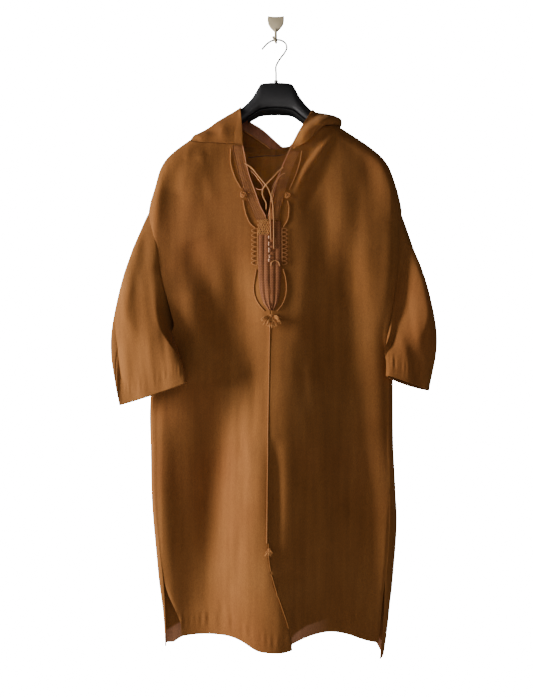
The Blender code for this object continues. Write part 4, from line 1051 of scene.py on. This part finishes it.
def patchLoops():
    patch = workedPatch
    random = np.random.default_rng(patch["seed"])
    parts = []
    for row in range(patch["rows"]):
        for column in range(patch["columns"]):
            share = (column + 0.5 * (row % 2)) / patch["columns"]
            x = patch["left"] + (patch["right"] - patch["left"]) * share
            x += random.uniform(-patch["stray"], patch["stray"])
            z = patch["top"] + (patch["bottom"] - patch["top"]) * row / patch["rows"]
            reach = random.uniform(*patch["reach"])
            lean = random.uniform(-patch["lean"], patch["lean"])
            route = [frontPoint(x + reach * math.cos(turn + lean), z + reach * math.sin(turn + lean),
                                patch["lift"] + patch["arch"] * math.sin(turn))
                     for turn in np.linspace(patch["open"], 2 * math.pi - patch["open"], patch["points"])]
            parts.append(curveToMesh(tube("patchLoop", route, patch["radius"], tasselThread, 1)))
    return parts


joinedCord(patchLoops(), "workedPatch")

# The folded edge that binds the slit, as (x, height)
slitEdge = {"lift": 2.2, "spacing": 4.0, "radius": 0.95}
slitRoutes = {
    "slitEdgeLeft": [(-72.2, -272), (-58.7, -335), (-45.2, -372), (-32.7, -407), (-22.2, -426)],
    "slitEdgeRight": [
        (57.2, -232), (52.2, -240), (29.7, -281), (11.7, -322), (-2.3, -365), (-12.8, -407), (-16.8, -426),
    ],
}
for pieceName, route in slitRoutes.items():
    line = frontLine([(x, z, slitEdge["lift"]) for x, z in route], slitEdge["spacing"])
    finishPiece(tube(pieceName, line, slitEdge["radius"], edgeThread, 2), "braid")

# Two thin strands inside the slit, held at both ends
slitStrand = {"spacing": 2.5, "radius": 0.85}
slitStrands = [
    [(-54.5, -326, 1.5), (-46, -336, 4.5), (-37, -349, 8.0), (-28.5, -361, 10.0), (-27, -366, 11.0)],
    [(-43.5, -365, 2.0), (-38, -368.5, 7.0), (-30, -368.5, 11.0), (-26.5, -366, 11.5)],
    [(9.5, -327, 2.5), (2, -345, 5.5), (-5, -358, 7.0), (-8.5, -366, 7.6)],
]
lines = [frontLine(route, slitStrand["spacing"]) for route in slitStrands]
joinedCord([curveToMesh(tube("strand", line, slitStrand["radius"], edgeThread, 2)) for line in lines], "slitStrands")

# Behind the opening: the cord along the rim band's inner edge, and the neck seam as (x, the frame's height)
rimBandCord = {
    "from": -70.0, "to": -5.0, "points": 14, "reach": 4.0, "lift": 0.6, "up": 1.2, "spacing": 3.0, "radius": 1.1,
}
rimPlaces = points(rimBands[0])
route = []
for x in np.linspace(rimBandCord["from"], rimBandCord["to"], rimBandCord["points"]):
    near = rimPlaces[np.abs(rimPlaces[:, 0] - x) < rimBandCord["reach"]]
    if len(near):
        route.append((x, near[:, 1].min() - rimBandCord["lift"], near[:, 2].min() + rimBandCord["up"]))
line = smoothRoute(route, rimBandCord["spacing"])
finishPiece(tube("rimBandCord", line, rimBandCord["radius"], laceThread, 2), "cord")

neckSeam = {
    "route": [(-62, -312), (-42, -310), (-22, -308), (0, -306), (20, -304)], "lift": 0.5, "spacing": 3.0,
    "radius": 0.9,
}
line = smoothRoute([inNeck(x, z, neckSeam["lift"]) for x, z in neckSeam["route"]], neckSeam["spacing"])
finishPiece(tube("neckSeam", line, neckSeam["radius"], seamThread, 2), "wool")

# The left front's folded edge, from the small tassel to the hem: a smooth bend through where the fronts meet
lowerSeam = {
    "top": -1152.0, "bottom": -1389.0, "rows": 40, "reach": 4.5, "apart": 9.0, "middle": -1270.0, "bends": 4,
    "lift": 1.0, "spacing": 3.0, "radius": 1.4,
}


def lowerSeamLine():
    onLeft, onRight = points(cloth["frontLeft"]), points(cloth["frontRight"])
    found = []
    for z in np.linspace(lowerSeam["top"], lowerSeam["bottom"], lowerSeam["rows"]):
        left, right = [skin[np.abs(skin[:, 2] - z) < lowerSeam["reach"]][:, 0] for skin in (onLeft, onRight)]
        if len(left):
            edges = [left.max(), right.min()] if len(right) else [left.max()]
            if abs(edges[0] - edges[-1]) < lowerSeam["apart"]:
                found.append((sum(edges) / len(edges), z))
    x, z = np.array(found).T
    bend = np.polyfit(z - lowerSeam["middle"], x, lowerSeam["bends"])
    x = np.polyval(bend, z - lowerSeam["middle"])
    return smoothRoute([onFront(*place, lowerSeam["lift"]) for place in zip(x, z)], lowerSeam["spacing"])


finishPiece(tube("lowerSeamEdge", lowerSeamLine(), lowerSeam["radius"], bodyWool, 2), "wool")

# A short cord that arches over the panel, and the braid down the centre seam
panelArch = {
    "route": [(-11, -534, 3.4), (-9, -526, 4.4), (-3, -523, 4.6), (4, -525, 4.4), (8, -534, 3.4)], "spacing": 2.0,
    "radius": 1.0,
}
line = frontLine(panelArch["route"], panelArch["spacing"])
finishPiece(tube("panelArch", line, panelArch["radius"], laceThread, 3), "cord")

centreSeam = {
    "z": [-655, -668, -760, -865, -1000, -1130], "x": [-13.5, -13.5, -15.0, -17.2, -19.3, -20.3],
    "step": -4.0, "lift": 1.1, "radius": 1.35, "pitch": 5.4,
}
levels = np.arange(centreSeam["z"][0], centreSeam["z"][-1], centreSeam["step"])
across = np.interp(-levels, -np.array(centreSeam["z"]), centreSeam["x"])
line = [frontPoint(x, z, centreSeam["lift"]) for x, z in zip(across, levels)]
plaitedCord("centreSeamCord", line, centreSeam["radius"], centreSeam["pitch"])
print("trims ready")


# The hanger and the hooks

hangerArch = {"levels": 2, "half": 66.0, "from": -186.0, "run": 18.0, "drop": 3.6, "gripHalf": 160.0, "facing": -0.75}


def makeHanger():
    hanger = nodeCopy("hanger", "hangerBody")
    subdivide(hanger, hangerArch["levels"])
    places = points(hanger)
    across = ramp(np.abs(places[:, 0]), 0, hangerArch["half"])
    low = ramp(-places[:, 2], -hangerArch["from"], hangerArch["run"])
    places[:, 2] -= hangerArch["drop"] * low * np.cos(across * math.pi / 2) ** 2
    setPoints(hanger, places)
    wear(hanger, hangerPlastic, gripRubber)
    for face in hanger.data.polygons:
        if face.normal.z < hangerArch["facing"] and abs(face.center.x) < hangerArch["gripHalf"] * mm:
            face.material_index = 1
    smoothShade(hanger, trimRules["smooth"])
    return finishPiece(hanger, "hanger_plastic", "hanger")


hangerLip = {
    "columns": 25, "rows": 4, "left": -62.0, "right": 66.0, "front": -93.0, "back": -61.0, "below": -400.0,
    "under": 0.4, "middleDrop": 7.4, "endDrop": 3.4, "thick": 2.6, "bevel": 0.8,
}


# The grip under the arch: a rubber strip, lower at the back.
def makeHangerLip(hanger):
    lip, skin = hangerLip, skinOf([hanger])[0]
    piece = added(bpy.ops.mesh.primitive_grid_add, "hangerGrip", x_subdivisions=lip["columns"],
                  y_subdivisions=lip["rows"], size=1)
    middle = (lip["front"] + lip["back"]) / 2
    for vertex in piece.data.vertices:
        across, deep = vertex.co.x + 0.5, vertex.co.y + 0.5
        x = lip["left"] + (lip["right"] - lip["left"]) * across
        y = lip["front"] + (lip["back"] - lip["front"]) * deep
        met = skin.ray_cast(Vector((x, middle, lip["below"])) * mm, Vector((0, 0, 1)))[0]
        drop = lip["endDrop"] + (lip["middleDrop"] - lip["endDrop"]) * math.sin(math.pi * across)
        vertex.co = Vector((x, y, met.z / mm - lip["under"] - drop * deep)) * mm
    modify(piece, "SOLIDIFY", thickness=lip["thick"] * mm, offset=0.0)
    modify(piece, "BEVEL", width=lip["bevel"] * mm, segments=2)
    finishMesh(piece, meshRules["hardSmooth"], gripRubber, "hanger_plastic")


makeHangerLip(makeHanger())

# The hanger's wire hook, as (x, height), and the collar at its foot
hangerToWall = 78.0
steelHook = {
    "radius": 2.0,
    "spacing": 2.0,
    "route": [
        (0, -125.1), (0, -108), (0, -91), (2.5, -85), (10, -73), (19, -61), (23.5, -51), (20.5, -40.5),
        (12, -34.5), (0, -33), (-9, -35), (-20, -42), (-31, -54),
    ],
}
line = smoothRoute([(x, -hangerToWall, z - datum) for x, z in steelHook["route"]], steelHook["spacing"])
finishPiece(tube("steelHook", line, steelHook["radius"], wireSteel, 6), "hook_steel", "steel_hook")

hookCollar = {"radius": 4.6, "height": 4.0, "middle": -124.3, "bevel": 1.2}


def makeCollar():
    place = Vector((0, -hangerToWall, hookCollar["middle"] - datum)) * mm
    collar = added(bpy.ops.mesh.primitive_cylinder_add, "hookCollar", vertices=32, location=place,
                   radius=hookCollar["radius"] * mm, depth=hookCollar["height"] * mm)
    modify(collar, "BEVEL", width=hookCollar["bevel"] * mm, segments=3)
    bpy.ops.object.transform_apply(location=True, rotation=True, scale=True)
    finishMesh(collar, meshRules["hardSmooth"], wireSteel, "hook_steel")


makeCollar()

wallHook = {
    "thick": 6.0,
    "outline": [
        (-18.5, 20), (-18.8, 13), (-18.8, 8), (-17, 0), (-12, -8), (-5, -15), (0, -18), (5, -15), (12, -8),
        (17.5, 0), (19, 8), (19.3, 20), (12, 18.6), (0, 18), (-12, 18.6),
    ],
    "bevel": 2.2,
    "arm": [(0, 4, -12), (0, 10, -22), (0, 30, -41), (0, 60, -56), (0, 78, -63.2), (-2, 90, -62), (-7, 96, -56)],
    "armSpacing": 2.0,
    "armRadius": 2.9,
    "rootWidth": 1.12,
    "taper": 0.2,
}


def makeWallHook():
    plate = added(bpy.ops.mesh.primitive_circle_add, "wallHookPlate", vertices=len(wallHook["outline"]),
                  fill_type="NGON")
    for vertex, (x, z) in zip(plate.data.vertices, wallHook["outline"]):
        vertex.co = Vector((x, 0, z)) * mm
    modify(plate, "SOLIDIFY", thickness=wallHook["thick"] * mm, offset=1.0)
    modify(plate, "BEVEL", width=wallHook["bevel"] * mm, segments=4)
    route = smoothRoute([(x, -forward, z) for x, forward, z in wallHook["arm"]], wallHook["armSpacing"])
    arm = tube("wallHookArm", route, wallHook["armRadius"], creamPlastic, 5)
    for number, point in enumerate(arm.data.splines[0].points):
        point.radius = wallHook["rootWidth"] - wallHook["taper"] * number / len(route)
    whole = joined([plate, curveToMesh(arm)], "wallHook")
    finishMesh(whole, meshRules["hardSmooth"], creamPlastic, "hook_plastic", "wall_hook")


makeWallHook()
print("hanger and hooks ready")


# The stage and its lights, in metres

stageSizes = {"floorHeight": -1.62, "floorSize": 4.4, "floorBack": 0.2}


def makeStage():
    place = (0, stageSizes["floorBack"] - stageSizes["floorSize"] / 2, stageSizes["floorHeight"])
    floor = added(bpy.ops.mesh.primitive_plane_add, "floor", size=stageSizes["floorSize"], location=place)
    material, shader, coords = newMaterial("paleFloor")
    setInputs(shader, {"Base Color": (0.86, 0.86, 0.86, 1.0), "Roughness": 0.9})
    floor.data.materials.append(material)


lights = {
    "windowLight": {
        "place": (-2.95, -0.66, -0.5), "target": (0.0, -0.08, -0.75), "size": (0.6, 1.7), "power": 170.0,
        "colour": (1.0, 0.97, 0.93), "spread": 180.0,
    },
    "roomLight": {
        "place": (0.5, -3.6, -0.1), "target": (0.0, -0.08, -0.7), "size": (2.4, 1.8), "power": 15.0,
        "colour": (1.0, 0.96, 0.92), "spread": 180.0,
    },
    "neckLight": {
        "place": (0.06, -1.6, -0.22), "target": (0.0, -0.05, -0.335), "size": (0.12, 0.12), "power": 0.016,
        "colour": (1.0, 0.93, 0.86), "spread": 7.0,
    },
}


def areaLight(name, values):
    data = bpy.data.lights.new(name, "AREA")
    width, height = values["size"]
    setValues(data, {
        "shape": "RECTANGLE", "size": width, "size_y": height, "energy": values["power"], "color": values["colour"],
        "spread": math.radians(values["spread"]),
    })
    light = newObject(name, data)
    light.location = values["place"]
    light.rotation_euler = (Vector(values["target"]) - light.location).to_track_quat("-Z", "Y").to_euler()


worldLight = {"room": 0.035, "roomColour": (1.0, 0.97, 0.93, 1.0), "backdrop": 24.0}


# A dim room for the robe, and a white backdrop for the camera.
def makeWorld():
    world = bpy.data.worlds.new("room")
    bpy.context.scene.world = world
    world.use_nodes = True
    tree = world.node_tree
    room = tree.nodes["Background"]
    setInputs(room, {"Color": worldLight["roomColour"], "Strength": worldLight["room"]})
    backdrop = addNode(tree, "Background", {"Strength": worldLight["backdrop"]}, 0)
    seen = addNode(tree, "LightPath", {}, "Is Camera Ray")
    mixed = addNode(tree, "MixShader", {0: seen, 1: room.outputs[0], 2: backdrop}, 0)
    setInputs(tree.nodes["World Output"], {"Surface": mixed})


makeStage()
for name, values in lights.items():
    areaLight(name, values)
makeWorld()
print("stage ready")
